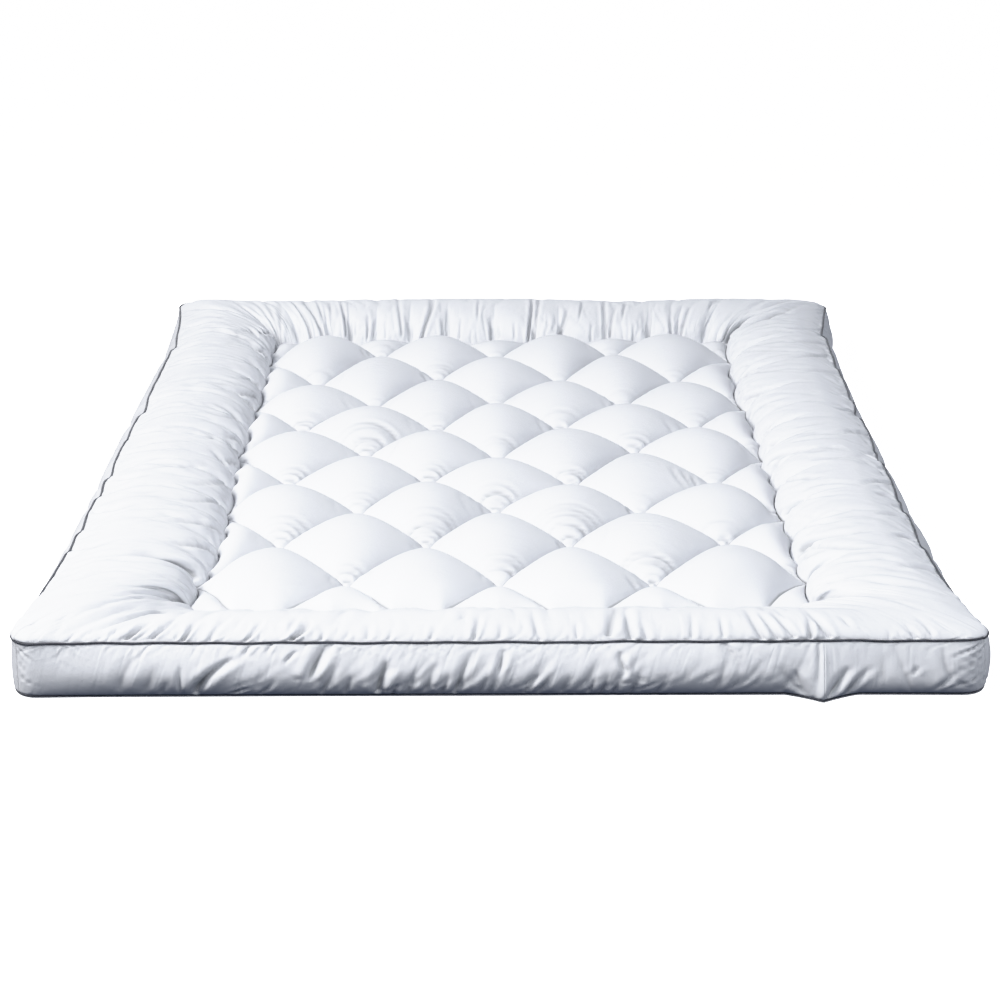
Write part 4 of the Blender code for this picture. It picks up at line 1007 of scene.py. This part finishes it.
def make_field():
    n = FIELD_N
    ni, nj = 4 * n, int(round(FIELD_Y / HALF_PITCH_Y * n))
    i = np.arange(-ni, ni + 1)
    j = np.arange(-nj, nj + 1)
    gi, gj = np.meshgrid(i, j, indexing="ij")
    a, b = denser(gi / n), denser(gj / n)
    x = a * HALF_PITCH_X
    y = b * HALF_PITCH_Y * FIELD_Y / (denser(nj / n) * HALF_PITCH_Y)
    base_x, base_y = x.copy(), y.copy()
    dx, dy = field_offsets(a, b)
    inside_x = np.clip((FIELD_X - np.abs(x)) / 0.06, 0, 1)
    inside_y = np.clip((FIELD_Y - np.abs(y)) / 0.06, 0, 1)
    x = x + dx * inside_x * inside_y
    y = y + dy * inside_y * np.maximum(inside_x, 0.75)
    # the sewn edge follows the scallops, just inside the border's seam
    def blend(d):
        return np.clip(1 - d / 0.10, 0, 1) ** 2
    gap = 0.0005
    front = scallop("front", x[:, 0])[0][:, None] - gap
    back = scallop("back", x[:, -1])[0][:, None] - gap
    left = scallop("left", y[0])[0][None, :] - gap
    right = scallop("right", y[-1])[0][None, :] - gap
    x = x - left * blend(base_x + FIELD_X) + right * blend(FIELD_X - base_x)
    y = y - front * blend(base_y + FIELD_Y) + back * blend(FIELD_Y - base_y)

    p_line = (gi + gj) % (2 * n)
    q_line = (gi - gj) % (2 * n)
    fp = ((a + b) / 2) % 1.0
    fq = ((a - b) / 2) % 1.0
    sp, sq = np.abs(np.sin(math.pi * fp)), np.abs(np.sin(math.pi * fq))
    col, row = np.floor((a + b) / 2), np.floor((a - b) / 2)
    uneven = 0.0022 * np.sin(2.3 * col + 4.1 * row) + 0.0018 * np.sin(5.7 * col - 1.9 * row)
    plump = (sp * sq) ** 0.60
    knot = np.exp(-((sp ** 2 + sq ** 2) / 0.08))
    low = 0.0555 - 0.0075 * knot
    z = low + (PILLOW_H + uneven) * plump
    edge_d = np.minimum(FIELD_X - np.abs(base_x), FIELD_Y - np.abs(base_y))
    rise = np.clip(edge_d / 0.055, 0, 1) ** 0.5
    z = 0.0480 + (z - 0.0480) * rise
    shape = np.stack([x, y, z], -1)
    normal = normals_of(shape, False)
    if normal[..., 2].mean() < 0:
        normal = -normal

    sewn = (p_line == 0) | (q_line == 0)
    w = np.where(sewn, 0.0, 1.0)
    w[0], w[-1] = 0, 0
    w[:, 0], w[:, -1] = 0, 0

    off = np.zeros_like(x)
    shade = np.zeros_like(x)
    for col, row_, facing, radius, depth, half, deepest in CRESCENTS + small_crescents():
        ki, kj = col * n + ni, row_ * n + nj
        field_crescent(off, shade, x, y, x[ki, kj], y[ki, kj], facing, radius, depth, half, deepest)

    flat = np.stack([x, y, np.zeros_like(x)], -1)
    loose = 1.065 + 0.010 * smooth_noise(*x.shape, 30, 30, False)
    rest_u = spacing(flat, 0) * loose
    rest_v = spacing(flat, 1) * loose
    start = shape + normal * (w * (off + 0.0003 * smooth_noise(*x.shape, 1.6, 1.6, False)
                                   + 0.0004 * smooth_noise(*x.shape, 4.0, 4.0, False)))[..., None]
    f0, f1 = flat[:-1, :-1], flat[1:, 1:]
    g0, g1 = flat[:-1, 1:], flat[1:, :-1]
    shear_rest = (np.linalg.norm(f1 - f0, axis=-1) * loose[:-1, :-1],
                  np.linalg.norm(g1 - g0, axis=-1) * loose[:-1, :-1])
    p = relax(start, w, shape + normal * off[..., None], normal, rest_u, rest_v, FIELD_ROUNDS,
              hold=0.022, push=0.00006, bend=(0.05, 0.05), shear=0.35, shear_rest=shear_rest)
    settled = normals_of(p, False)
    if settled[..., 2].mean() < 0:
        settled = -settled
    p = p + settled * (off * w)[..., None]
    nu, nv = x.shape
    # cells are cut along the channel that crosses them
    A, B = np.meshgrid(np.arange(nu - 1), np.arange(nv - 1), indexing="ij")
    v00, v10, v11, v01 = (A * nv + B, (A + 1) * nv + B, (A + 1) * nv + B + 1, A * nv + B + 1)
    falling = ((A - ni) + (B - nj) + 1) % (2 * n) == 0
    rising = ((A - ni) - (B - nj)) % (2 * n) == 0
    far_fall = np.minimum(((A - ni) + (B - nj) + 1) % (2 * n), -((A - ni) + (B - nj) + 1) % (2 * n))
    far_rise = np.minimum(((A - ni) - (B - nj)) % (2 * n), -((A - ni) - (B - nj)) % (2 * n))
    cut_fall = falling | (~rising & (far_fall < far_rise))
    m = cut_fall
    tris = [np.stack([v00[m], v10[m], v01[m]], -1), np.stack([v10[m], v11[m], v01[m]], -1)]
    m = ~cut_fall
    tris += [np.stack([v00[m], v10[m], v11[m]], -1), np.stack([v00[m], v11[m], v01[m]], -1)]
    # the hidden sides and underside close it
    index = np.arange(nu * nv).reshape(nu, nv)
    loop = np.concatenate([index[:-1, 0], index[-1, :-1], index[:0:-1, -1], index[0, :0:-1]])
    verts = p.reshape(-1, 3)
    k = len(loop)
    shrink = np.array([1 - 0.020 / FIELD_X, 1 - 0.020 / FIELD_Y, 0])
    mid, low_rim = verts[loop] * shrink, verts[loop] * shrink
    mid[:, 2], low_rim[:, 2] = 0.036, 0.0026
    start_at = len(verts)
    verts = np.concatenate([verts, mid, low_rim, [[0, 0, 0.0026]]])
    r = np.arange(k)
    r2 = (r + 1) % k
    walls = [np.stack([loop[r], start_at + r, start_at + r2, loop[r2]], -1),
             np.stack([start_at + r, start_at + k + r, start_at + k + r2, start_at + r2], -1)]
    fan = np.stack([start_at + k + r2, start_at + k + r, np.full(k, start_at + 2 * k)], -1)
    strip_and_painted_shade = np.zeros((len(verts), 3))
    # painted shade: the colour is darkened fully along the sewn channels and in the crescent creases'
    # troughs
    strip_and_painted_shade[:nu * nv, 2] = np.maximum(w == 0, np.minimum(shade, 0.85)).ravel()
    return new_piece("quilted_field", verts, [np.concatenate(tris + [fan]), np.concatenate(walls)],
                     TOP_CLOTH, {"strip_and_painted_shade": strip_and_painted_shade})


# ------------------------------------------------------------------ border roll
def roll_macro():
    n, rows = ring.count, ROLL_ROWS
    # rows stand closer together at the two seams
    s = np.linspace(0, 1, rows)
    t = s - 0.70 * np.sin(2 * math.pi * s) / (2 * math.pi) * 1.0
    plain, puffed = through(ROLL, t, 0, 1), through(ROLL, t, 0, 2)
    lower = ring.per_side(lambda side, a: front_share(side, a))[:, None]
    height = (through(ROLL, t, 0, 3)[None, :] * (1 - lower)
              + through(ROLL, t, 0, 4)[None, :] * lower)
    puff = ring.per_side(lambda side, a: through(PUFF[side], a))[:, None]
    share = (plain[None, :] * (1 - puff) + puffed[None, :] * puff)[..., None]
    outer = ring.seam - ring.out * 0.0006
    inner = ring.inner
    plan = outer[:, None, :] + (inner - outer)[:, None, :] * share
    height = height + LIFTED[:, None] * np.sin(math.pi * np.clip(t, 0, 1) ** 0.8)[None, :]
    height = height + RISEN[:, None] * np.clip(1 - t / 0.5, 0, 1)[None, :]
    shape = np.concatenate([plan, height[..., None]], -1)
    return t, shape


def front_share(side, along):
    """How much of the front's lower section the roll has: 1 on the front, fading at its ends."""
    if side != "front":
        return np.zeros_like(along)
    x = np.clip((ring_end("front") - np.abs(along)) / FRONT_FADE, 0, 1)
    return x * x * (3 - 2 * x)


def ring_end(side):
    return side_half(side)[0] + CORNER_R * math.pi / 4


def outward(shape, loop=True):
    nrm = normals_of(shape, loop)
    return -nrm if nrm[..., 2].mean() < 0 else nrm


def make_roll():
    t, shape = roll_macro()
    n, rows = shape.shape[:2]
    nrm = outward(shape)
    near = through([(0, 0), (0.50, 0.05), (0.75, 0.5), (0.93, 1.0), (1, 0)], t)[None, :]
    off = near * (ring.lobe[:, None] - 0.70) * 0.0110
    off += 0.0018 * smooth_noise(n, rows, 45, 20, True) * np.sin(math.pi * t) ** 0.7
    run = run_along(shape)
    rows_in = []
    for side in SIDES:
        end = ring.end[side]
        for a, stand, deep in SCALLOPS[side][1:-1]:
            # the crease that runs out of each bite
            long = RNG.uniform(0.16, 0.42)
            i0 = float(np.argmin(np.abs(inner_along(side) - a)) + ring.first[side])
            per = STATIONS[side] / (2 * end)
            rows_in.append((i0, 1.0, i0 + RNG.normal() * 0.02 * per, 1.0 - long,
                            RNG.normal() * 0.008 * per, RNG.uniform(0.0020, 0.0042),
                            RNG.uniform(0.004, 0.006), 0.9))
    shade = np.zeros_like(off)
    carve(off, run, t, rows_in, shade=shade, full=0.008)
    small = []
    small += gathers("front", -0.735, 0.735, 0.0150, 0.0, (0.05, 0.35), (0.0001, 0.0009), 0.0030,
                     lambda a: 0.05 if a < 0.2 else -0.07, 0.7)
    for side in ("left", "right"):
        small += gathers(side, -0.99, 0.99, 0.024, 0.0, (0.06, 0.30), (0.0005, 0.0018), 0.0060, 0.0)
        small += gathers(side, -0.99, 0.99, 0.018, 1.0, (0.25, 0.75), (0.0003, 0.0016), 0.0042, 0.0)
    small += gathers("back", -0.735, 0.735, 0.020, 0.0, (0.06, 0.35), (0.0004, 0.0013), 0.0040, 0.0)
    small += gathers("back", -0.735, 0.735, 0.018, 1.0, (0.15, 0.60), (0.0003, 0.0014), 0.0030, 0.0)
    small += gathers("front", -0.735, 0.735, 0.026, 1.0, (0.10, 0.40), (0.0008, 0.0022), 0.0050, 0.0)
    # long soft wrinkles right across
    for side, count in (("left", 60), ("right", 60), ("back", 30), ("front", 30)):
        per = STATIONS[side] / (2 * ring.end[side])
        for _ in range(count):
            a = RNG.uniform(-ring.end[side], ring.end[side])
            t0, t1 = RNG.uniform(0.45, 0.85), RNG.uniform(0.05, 0.40)
            i0 = ring.index(side, a)
            small.append((i0, t0, i0 + RNG.normal() * 0.02 * per, t1, RNG.normal() * 0.012 * per,
                          RNG.uniform(0.0008, 0.0026), RNG.uniform(0.005, 0.010), 0.0))
    carve(off, run, t, small, 1.5, shade, 0.009)
    by_hand = np.zeros_like(off)
    carve(by_hand, run, t, placed(ROLL_CREASES), 1.1, shade, 0.0062)
    off += by_hand
    ends = np.clip(np.minimum(t / 0.02, (1 - t) / 0.03), 0, 1)[None, :]
    shape = shape + nrm * (off * ends)[..., None]

    w = np.ones((n, rows))
    w[:, 0] = 0
    w[:, -1] = 0
    gather = through([(0, 0.08), (0.12, 0.03), (0.45, 0.012), (0.75, 0.015), (0.93, 0.03), (1, 0.05)], t)
    slack = ring.per_side(lambda side, a: 1 - 0.6 * front_share(side, a))
    rest_u = spacing(shape, 0, True) * (1 + slack[:, None] * gather[None, :])
    rest_v = spacing(shape, 1) * 1.004
    start = shape + nrm * (0.0004 * smooth_noise(n, rows, 2.5, 6, True)
                           + 0.0005 * smooth_noise(n, rows, 6, 10, True) * w)[..., None]
    d1 = np.linalg.norm(shape[1:, 1:] - shape[:-1, :-1], axis=-1)
    d2 = np.linalg.norm(shape[1:, :-1] - shape[:-1, 1:], axis=-1)
    p = relax(start, w, shape, outward(shape), rest_u, rest_v, ROLL_ROUNDS, loop=True, hold=0.03,
              push=0.00003, bend=(0.035, 0.03), shear=0.15, shear_rest=(d1, d2))
    p = p + outward(p) * ((0.75 * by_hand + 0.25 * np.minimum(off - by_hand, 0.001)) * ends)[..., None]

    # hidden walls and underside close the roll
    def level(plan, z):
        return np.concatenate([plan, np.full((n, 1), z)], -1)[:, None, :]
    closing = [level(ring.inner + ring.inner_out * 0.012, 0.030),
               level(ring.inner + ring.inner_out * 0.012, 0.0026),
               level(ring.seam - ring.out * 0.0060, 0.0026),
               level(ring.seam - ring.out * 0.0060, 0.0800)]
    whole = np.concatenate([p] + closing, 1)
    nv = whole.shape[1]
    strip_and_painted_shade = np.zeros((n, nv, 3))
    strip_and_painted_shade[..., 0] = RUN[:, None]
    strip_and_painted_shade[:, :rows, 1] = t[None, :]
    strip_and_painted_shade[:, rows:, 1] = 0.5
    # painted shade in the crease troughs, and full painted shade along the field seam row
    strip_and_painted_shade[:, :rows, 2] = np.minimum(shade, 0.85)
    strip_and_painted_shade[:, rows - 1, 2] = 1.0
    return new_piece("border_roll", whole.reshape(-1, 3), [strip_faces(n, nv, True, True)],
                     ROLL_CLOTH, {"strip_and_painted_shade": strip_and_painted_shade.reshape(-1, 3)})


def inner_along(side):
    here = ring.side == SIDES.index(side)
    return (ring.inner[here] * np.array(ALONG[side])).sum(1)


# ------------------------------------------------------------------ gusset
def gusset_macro():
    n, rows = ring.count, GUSSET_ROWS
    s = np.linspace(0, 1, rows)
    v = s - 0.45 * np.sin(2 * math.pi * s) / (2 * math.pi)
    low_z, high_z = PIPE_LOW_Z + PIPE_R * 0.8, PIPE_Z - PIPE_R * 0.8
    bulge = ring.per_side(lambda side, a: through(BULGE[side], a))[:, None]
    out_low = SPREAD[:, None]
    vv = v[None, :]
    z = low_z + (high_z + RISEN[:, None] - low_z) * vv
    # the widest place lies lower on the front, lowest right of the joint seam
    centre = ring.per_side(lambda side, a: 0.45 - 0.10 * np.clip((a - 0.50) / 0.05, 0, 1)
                           if side == "front" else np.full_like(a, 0.5))[:, None]
    x = np.where(vv < centre, (centre - vv) / centre, (vv - centre) / (1 - centre))
    full = np.where(vv < centre, (1 - x ** 2) ** 0.75, 1 - x ** 1.6)
    o = 0.0004 + out_low * (1 - vv) + bulge * full
    base = ring.seam[:, None, :] + ring.out[:, None, :] * o[..., None]
    return v, np.concatenate([base, z[..., None]], -1)


def make_gusset():
    v, shape = gusset_macro()
    n, rows = shape.shape[:2]
    out = np.concatenate([ring.out, np.zeros((n, 1))], -1)[:, None, :]
    off = 0.0012 * smooth_noise(n, rows, 30, 12, True) * np.sin(math.pi * v) ** 0.8
    run = run_along(shape)
    small = []
    small += gathers("front", -0.735, 0.15, 0.0135, 1.0, (0.15, 0.50), (0.0004, 0.0016), 0.0032, -0.05)
    small += gathers("front", 0.15, 0.49, 0.0200, 1.0, (0.10, 0.40), (0.0006, 0.0018), 0.0040, -0.01)
    small += gathers("front", 0.51, 0.735, 0.0240, 1.0, (0.10, 0.35), (0.0002, 0.0010), 0.0040, -0.01)
    small += gathers("front", -0.45, 0.20, 0.0150, 0.05, (0.15, 0.50), (0.0002, 0.0009), 0.0035, 0.05)
    # slanting folds between the two seams of the front, more of them right of the middle
    per = STATIONS["front"] / (2 * ring.end["front"])
    for low, high, count, slant in ((-0.70, -0.45, 2, 0.03), (-0.45, 0.47, 46, 0.036),
                                    (0.53, 0.74, 6, -0.012)):
        for _ in range(count):
            i0 = ring.index("front", RNG.uniform(low, high))
            up = RNG.uniform(0.35, 0.95)
            start = RNG.uniform(0.08, 0.40)
            small.append((i0, start, i0 + RNG.normal(slant, 0.012) * per, up, RNG.normal() * 0.004 * per,
                          RNG.uniform(0.0010, 0.0042), RNG.uniform(0.0040, 0.0085), 0.3))
    for side in ("left", "right", "back"):
        end = ring.end[side] - 0.02
        small += gathers(side, -end, end, 0.022, 1.0, (0.15, 0.55), (0.0008, 0.0028), 0.0045, 0.0)
        small += gathers(side, -end, end, 0.026, 0.0, (0.15, 0.50), (0.0008, 0.0025), 0.0050, 0.0)
        per = STATIONS[side] / (2 * ring.end[side])
        for _ in range(int(end * 16)):
            a = RNG.uniform(-end, end)
            i0 = ring.index(side, a)
            small.append((i0, RNG.uniform(0.55, 1.0), i0 + RNG.normal() * 0.03 * per,
                          RNG.uniform(0.0, 0.3), 0.0, RNG.uniform(0.001, 0.004),
                          RNG.uniform(0.004, 0.008), 0.5))
    shade = np.zeros_like(off)
    carve(off, run, v, small, 1.0, shade, 0.009)
    carve(off, run, v, placed(GUSSET_CREASES, 0.3), 2.1, shade, 0.006)
    ends = np.clip(np.minimum(v / 0.04, (1 - v) / 0.04), 0, 1)[None, :]
    shape = shape + out * (off * ends)[..., None]
    w = np.ones((n, rows))
    w[:, 0] = w[:, -1] = 0
    gather = (1.012 + 0.022 * np.abs(2 * v - 1) ** 3)[None, :]
    rest_u = spacing(shape, 0, True) * gather
    rest_v = spacing(shape, 1) * 1.005
    d1 = np.linalg.norm(shape[1:, 1:] - shape[:-1, :-1], axis=-1)
    d2 = np.linalg.norm(shape[1:, :-1] - shape[:-1, 1:], axis=-1)
    nrm = normals_of(shape, True)
    if (nrm * out).sum(-1).mean() < 0:
        nrm = -nrm
    start = shape + nrm * (w * 0.0004 * smooth_noise(n, rows, 3.5, 5, True))[..., None]
    p = relax(start, w, shape, nrm, rest_u, rest_v, GUSSET_ROUNDS, loop=True, hold=0.03,
              push=0.00003, bend=(0.05, 0.03), shear=0.20, shear_rest=(d1, d2))
    return p, shade


GUSSETS = [
    # (piece, node, side, from, to)
    ("gusset_front_long_cloth", "gusset_front_long", "front", -9.0, JOINT_X),
    ("gusset_front_short_cloth", "gusset_front_short", "front", JOINT_X, 9.0),
    ("gusset_right_cloth", "gusset_right", "right", -9.0, 9.0),
    ("gusset_back_cloth", "gusset_back", "back", -9.0, 9.0),
    ("gusset_left_cloth", "gusset_left", "left", -9.0, 9.0),
]


def make_strips(p, shade):
    made = []
    n, rows = ring.count, GUSSET_ROWS
    thick = np.concatenate([ring.out, np.zeros((n, 1))], -1)[:, None, :] * 0.0020
    inner = p - thick
    for name, node, side, low, high in GUSSETS:
        k = SIDES.index(side)
        idx = np.flatnonzero((ring.side == k) & (ring.along >= low) & (ring.along <= high))
        if side == "front" and high < 9:
            idx = np.append(idx, idx[-1] + 1)
        if high >= 9 or side != "front":
            idx = np.append(idx, (idx[-1] + 1) % n)
        a, b = p[idx], inner[idx]
        section = np.concatenate([a, b[:, ::-1]], 1)
        m, nv = section.shape[0], section.shape[1]
        faces = [strip_faces(m, nv, False, True)]
        # ends
        caps = []
        for e in (0, m - 1):
            lo = e * nv + np.arange(rows - 1)
            hi = lo + 1
            lo_in = e * nv + nv - 1 - np.arange(rows - 1)
            hi_in = lo_in - 1
            quad = np.stack([lo, hi, hi_in, lo_in], -1)
            caps.append(quad if e == 0 else quad[:, ::-1])
        faces.append(np.concatenate(caps))
        strip_and_painted_shade = np.zeros_like(section)
        share = np.linspace(0, 1, rows)
        both_ways = np.concatenate([share, share[::-1]])[None, :]
        strip_and_painted_shade[..., 0] = RUN[idx][:, None] - (0.042 * both_ways if node == "gusset_front_long" else 0.0)
        strip_and_painted_shade[..., 1] = both_ways
        # painted shade in the gusset's crease troughs
        strip_and_painted_shade[..., 2] = np.minimum(np.concatenate([shade[idx], shade[idx][:, ::-1]], 1), 0.85)
        obj = new_piece(name, section.reshape(-1, 3), [np.concatenate(faces)], SIDE_CLOTH,
                        {"strip_and_painted_shade": strip_and_painted_shade.reshape(-1, 3)})
        length = float(np.linalg.norm(np.diff(ring.seam[idx], axis=0), axis=1).sum())
        made.append((obj, node, length))
    return made


# ------------------------------------------------------------------ piping
def make_piping(name, z, outward_by, wobble, radius, proud):
    n, sides = ring.count, 10
    path = np.concatenate([ring.seam + ring.out * (outward_by[:, None] + proud), np.full((n, 1), z)], -1)
    path[:, 2] += wobble
    ahead = np.roll(path, -1, 0) - np.roll(path, 1, 0)
    ahead /= np.linalg.norm(ahead, axis=1, keepdims=True)
    out = np.cross(ahead, np.array([0, 0, 1.0]))
    out /= np.linalg.norm(out, axis=1, keepdims=True)
    top = np.cross(out, ahead)
    ang = 2 * math.pi * np.arange(sides) / sides
    tube = (path[:, None, :] + radius * (np.cos(ang)[None, :, None] * out[:, None, :]
                                         + np.sin(ang)[None, :, None] * top[:, None, :]))
    return new_piece(name, tube.reshape(-1, 3), [strip_faces(n, sides, True, True)], PIPING)


# ------------------------------------------------------------------ base
def make_base():
    pick = np.arange(0, ring.count, 2)
    n = len(pick)
    edge = (ring.seam + ring.out * (SPREAD + 0.0004)[:, None])[pick]
    out = ring.out[pick]
    section = [(0.05, 0.0020), (0.004, 0.0020), (0.0, 0.0018), (0.0, 0.0002), (0.0006, 0.0), (0.05, 0.0)]
    rings = [np.concatenate([edge - out * inward, np.full((n, 1), z)], -1) for inward, z in section]
    m = len(section)
    verts = np.concatenate([np.stack(rings, 1).reshape(-1, 3), [[0, 0, 0.0020], [0, 0, 0.0]]])
    r = np.arange(n)
    r2 = (r + 1) % n
    top = np.stack([r * m, r2 * m, np.full(n, n * m)], -1)
    low = np.stack([r2 * m + m - 1, r * m + m - 1, np.full(n, n * m + 1)], -1)
    return new_piece("base_sheet", verts, [strip_faces(n, m, True, False),
                                           np.concatenate([top, low])], BASE_CLOTH)


# ------------------------------------------------------------------ put together
field_obj = make_field()
roll_obj = make_roll()
strips = make_strips(*make_gusset())

for obj in (field_obj, roll_obj):
    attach(obj, "root")
    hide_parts("filled_pad")
for obj, node, length in strips:
    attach(obj, "root")
    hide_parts(node)

wob = RISEN
pipe_top = make_piping("piping_top_cord", PIPE_Z, np.zeros(ring.count), wob, CORD_R, 0.0016)
pipe_low = make_piping("piping_bottom_cord", PIPE_LOW_Z, SPREAD, wob * 0, PIPE_R, 0.0006)
for obj, node in ((pipe_top, "piping_top"), (pipe_low, "piping_bottom")):
    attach(obj, "root")
    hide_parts(node)

base_obj = make_base()
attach(base_obj, "root")
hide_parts("base_panel")

# ------------------------------------------------------------------ floor, light, camera
scene = bpy.context.scene
view = scene.view_settings
view.view_transform = "Standard"
# a soft shoulder keeps the brightest cloth just under white
view.use_curve_mapping = True
shoulder = view.curve_mapping
shoulder.white_level = (1.5, 1.5, 1.5)
tone = shoulder.curves[3]
tone.points[0].location, tone.points[1].location = (0, 0), (1, 0.985)
for spot in ((0.20, 0.30), (0.40, 0.60), (0.533, 0.80), (0.63, 0.905), (0.76, 0.958)):
    tone.points.new(*spot)
shoulder.update()

floor_mesh = bpy.data.meshes.new("floor")
floor_mesh.from_pydata([(-40, -40, 0), (40, -40, 0), (40, 40, 0), (-40, 40, 0)], [], [(0, 1, 2, 3)])
floor_mat = bpy.data.materials.new("floor")
floor_mat.use_nodes = True
shader = floor_mat.node_tree.nodes["Principled BSDF"]
shader.inputs["Base Color"].default_value = (0.82, 0.82, 0.82, 1)
shader.inputs["Roughness"].default_value = 0.9
shader.inputs["Specular IOR Level"].default_value = 0.0
shader.inputs["Emission Color"].default_value = (1, 1, 1, 1)
shader.inputs["Emission Strength"].default_value = 2.0
floor_mesh.materials.append(floor_mat)
floor = bpy.data.objects.new("floor", floor_mesh)
floor.location.z = -0.0005
floor.visible_diffuse = False
floor.visible_glossy = False
scene.collection.objects.link(floor)

world = bpy.data.worlds.new("studio")
scene.world = world
world.use_nodes = True
wn, wl = world.node_tree.nodes, world.node_tree.links
sky = wn["Background"]
sky.inputs["Strength"].default_value = 1.0
direction = wn.new("ShaderNodeTexCoord")
split = wn.new("ShaderNodeSeparateXYZ")
wl.new(direction.outputs["Generated"], split.inputs[0])
ramp = wn.new("ShaderNodeValToRGB")
span = wn.new("ShaderNodeMapRange")
span.inputs["From Min"].default_value = -1
span.inputs["From Max"].default_value = 1
wl.new(split.outputs["Z"], span.inputs["Value"])
wl.new(span.outputs["Result"], ramp.inputs["Fac"])
ramp.color_ramp.elements[0].position = 0.42
ramp.color_ramp.elements[0].color = (0.036, 0.048, 0.082, 1)
ramp.color_ramp.elements[1].position = 0.62
ramp.color_ramp.elements[1].color = (0.11, 0.128, 0.17, 1)
wl.new(ramp.outputs["Color"], sky.inputs["Color"])


def sun_light(name, toward, spread, strength, colour):
    """A far softbox: light arriving along -toward, spread over an angle in degrees."""
    data = bpy.data.lights.new(name, "SUN")
    data.energy = strength
    data.angle = math.radians(spread)
    data.color = colour
    obj = bpy.data.objects.new(name, data)
    obj.rotation_euler = Vector(toward).to_track_quat("Z", "Y").to_euler()
    scene.collection.objects.link(obj)
    return obj


def softbox(name, azimuth, elevation, distance, size, strength, colour):
    """A square softbox that faces the topper and gives it this strength of light."""
    data = bpy.data.lights.new(name, "AREA")
    data.shape = "SQUARE"
    data.size = size
    data.energy = strength * math.pi * distance ** 2
    data.color = colour
    obj = bpy.data.objects.new(name, data)
    az, el = math.radians(azimuth), math.radians(elevation)
    toward = Vector((math.cos(el) * math.cos(az), math.cos(el) * math.sin(az), math.sin(el)))
    obj.location = toward * distance
    obj.visible_camera = False
    obj.rotation_euler = toward.to_track_quat("Z", "Y").to_euler()
    scene.collection.objects.link(obj)


def turned(azimuth, elevation):
    az, el = math.radians(azimuth), math.radians(elevation)
    return math.cos(el) * math.cos(az), math.cos(el) * math.sin(az), math.sin(el)


softbox("softbox_key", 208, 45, 6.0, 2.3, 2.60, (1.0, 0.99, 0.975))
softbox("softbox_front", 277, 41, 4.6, 1.9, 0.90, (0.97, 0.985, 1.0))
softbox("softbox_side", 354, 8, 3.4, 0.9, 0.44, (0.97, 0.985, 1.0))
sun_light("softbox_back", turned(97, 21), 24, 0.68, (0.95, 0.975, 1.0))
sun_light("softbox_right", turned(306, 26), 24, 0.34, (0.95, 0.975, 1.0))
sun_light("softbox_left", turned(180, 38), 24, 0.45, (1.0, 0.99, 0.98))

camera_data = bpy.data.cameras.new("photo_camera")
camera_data.sensor_width = 36.0
camera_data.lens = 82.81
camera = bpy.data.objects.new("photo_camera", camera_data)
camera.location = (0.0327, -4.2354, 1.4618)
yaw, pitch, roll = math.radians(0.457), math.radians(90 - 19.448), math.radians(-0.365)
camera.rotation_euler = (Matrix.Rotation(yaw, 3, "Z") @ Matrix.Rotation(pitch, 3, "X")
                         @ Matrix.Rotation(roll, 3, "Z")).to_euler()
scene.collection.objects.link(camera)
scene.camera = camera
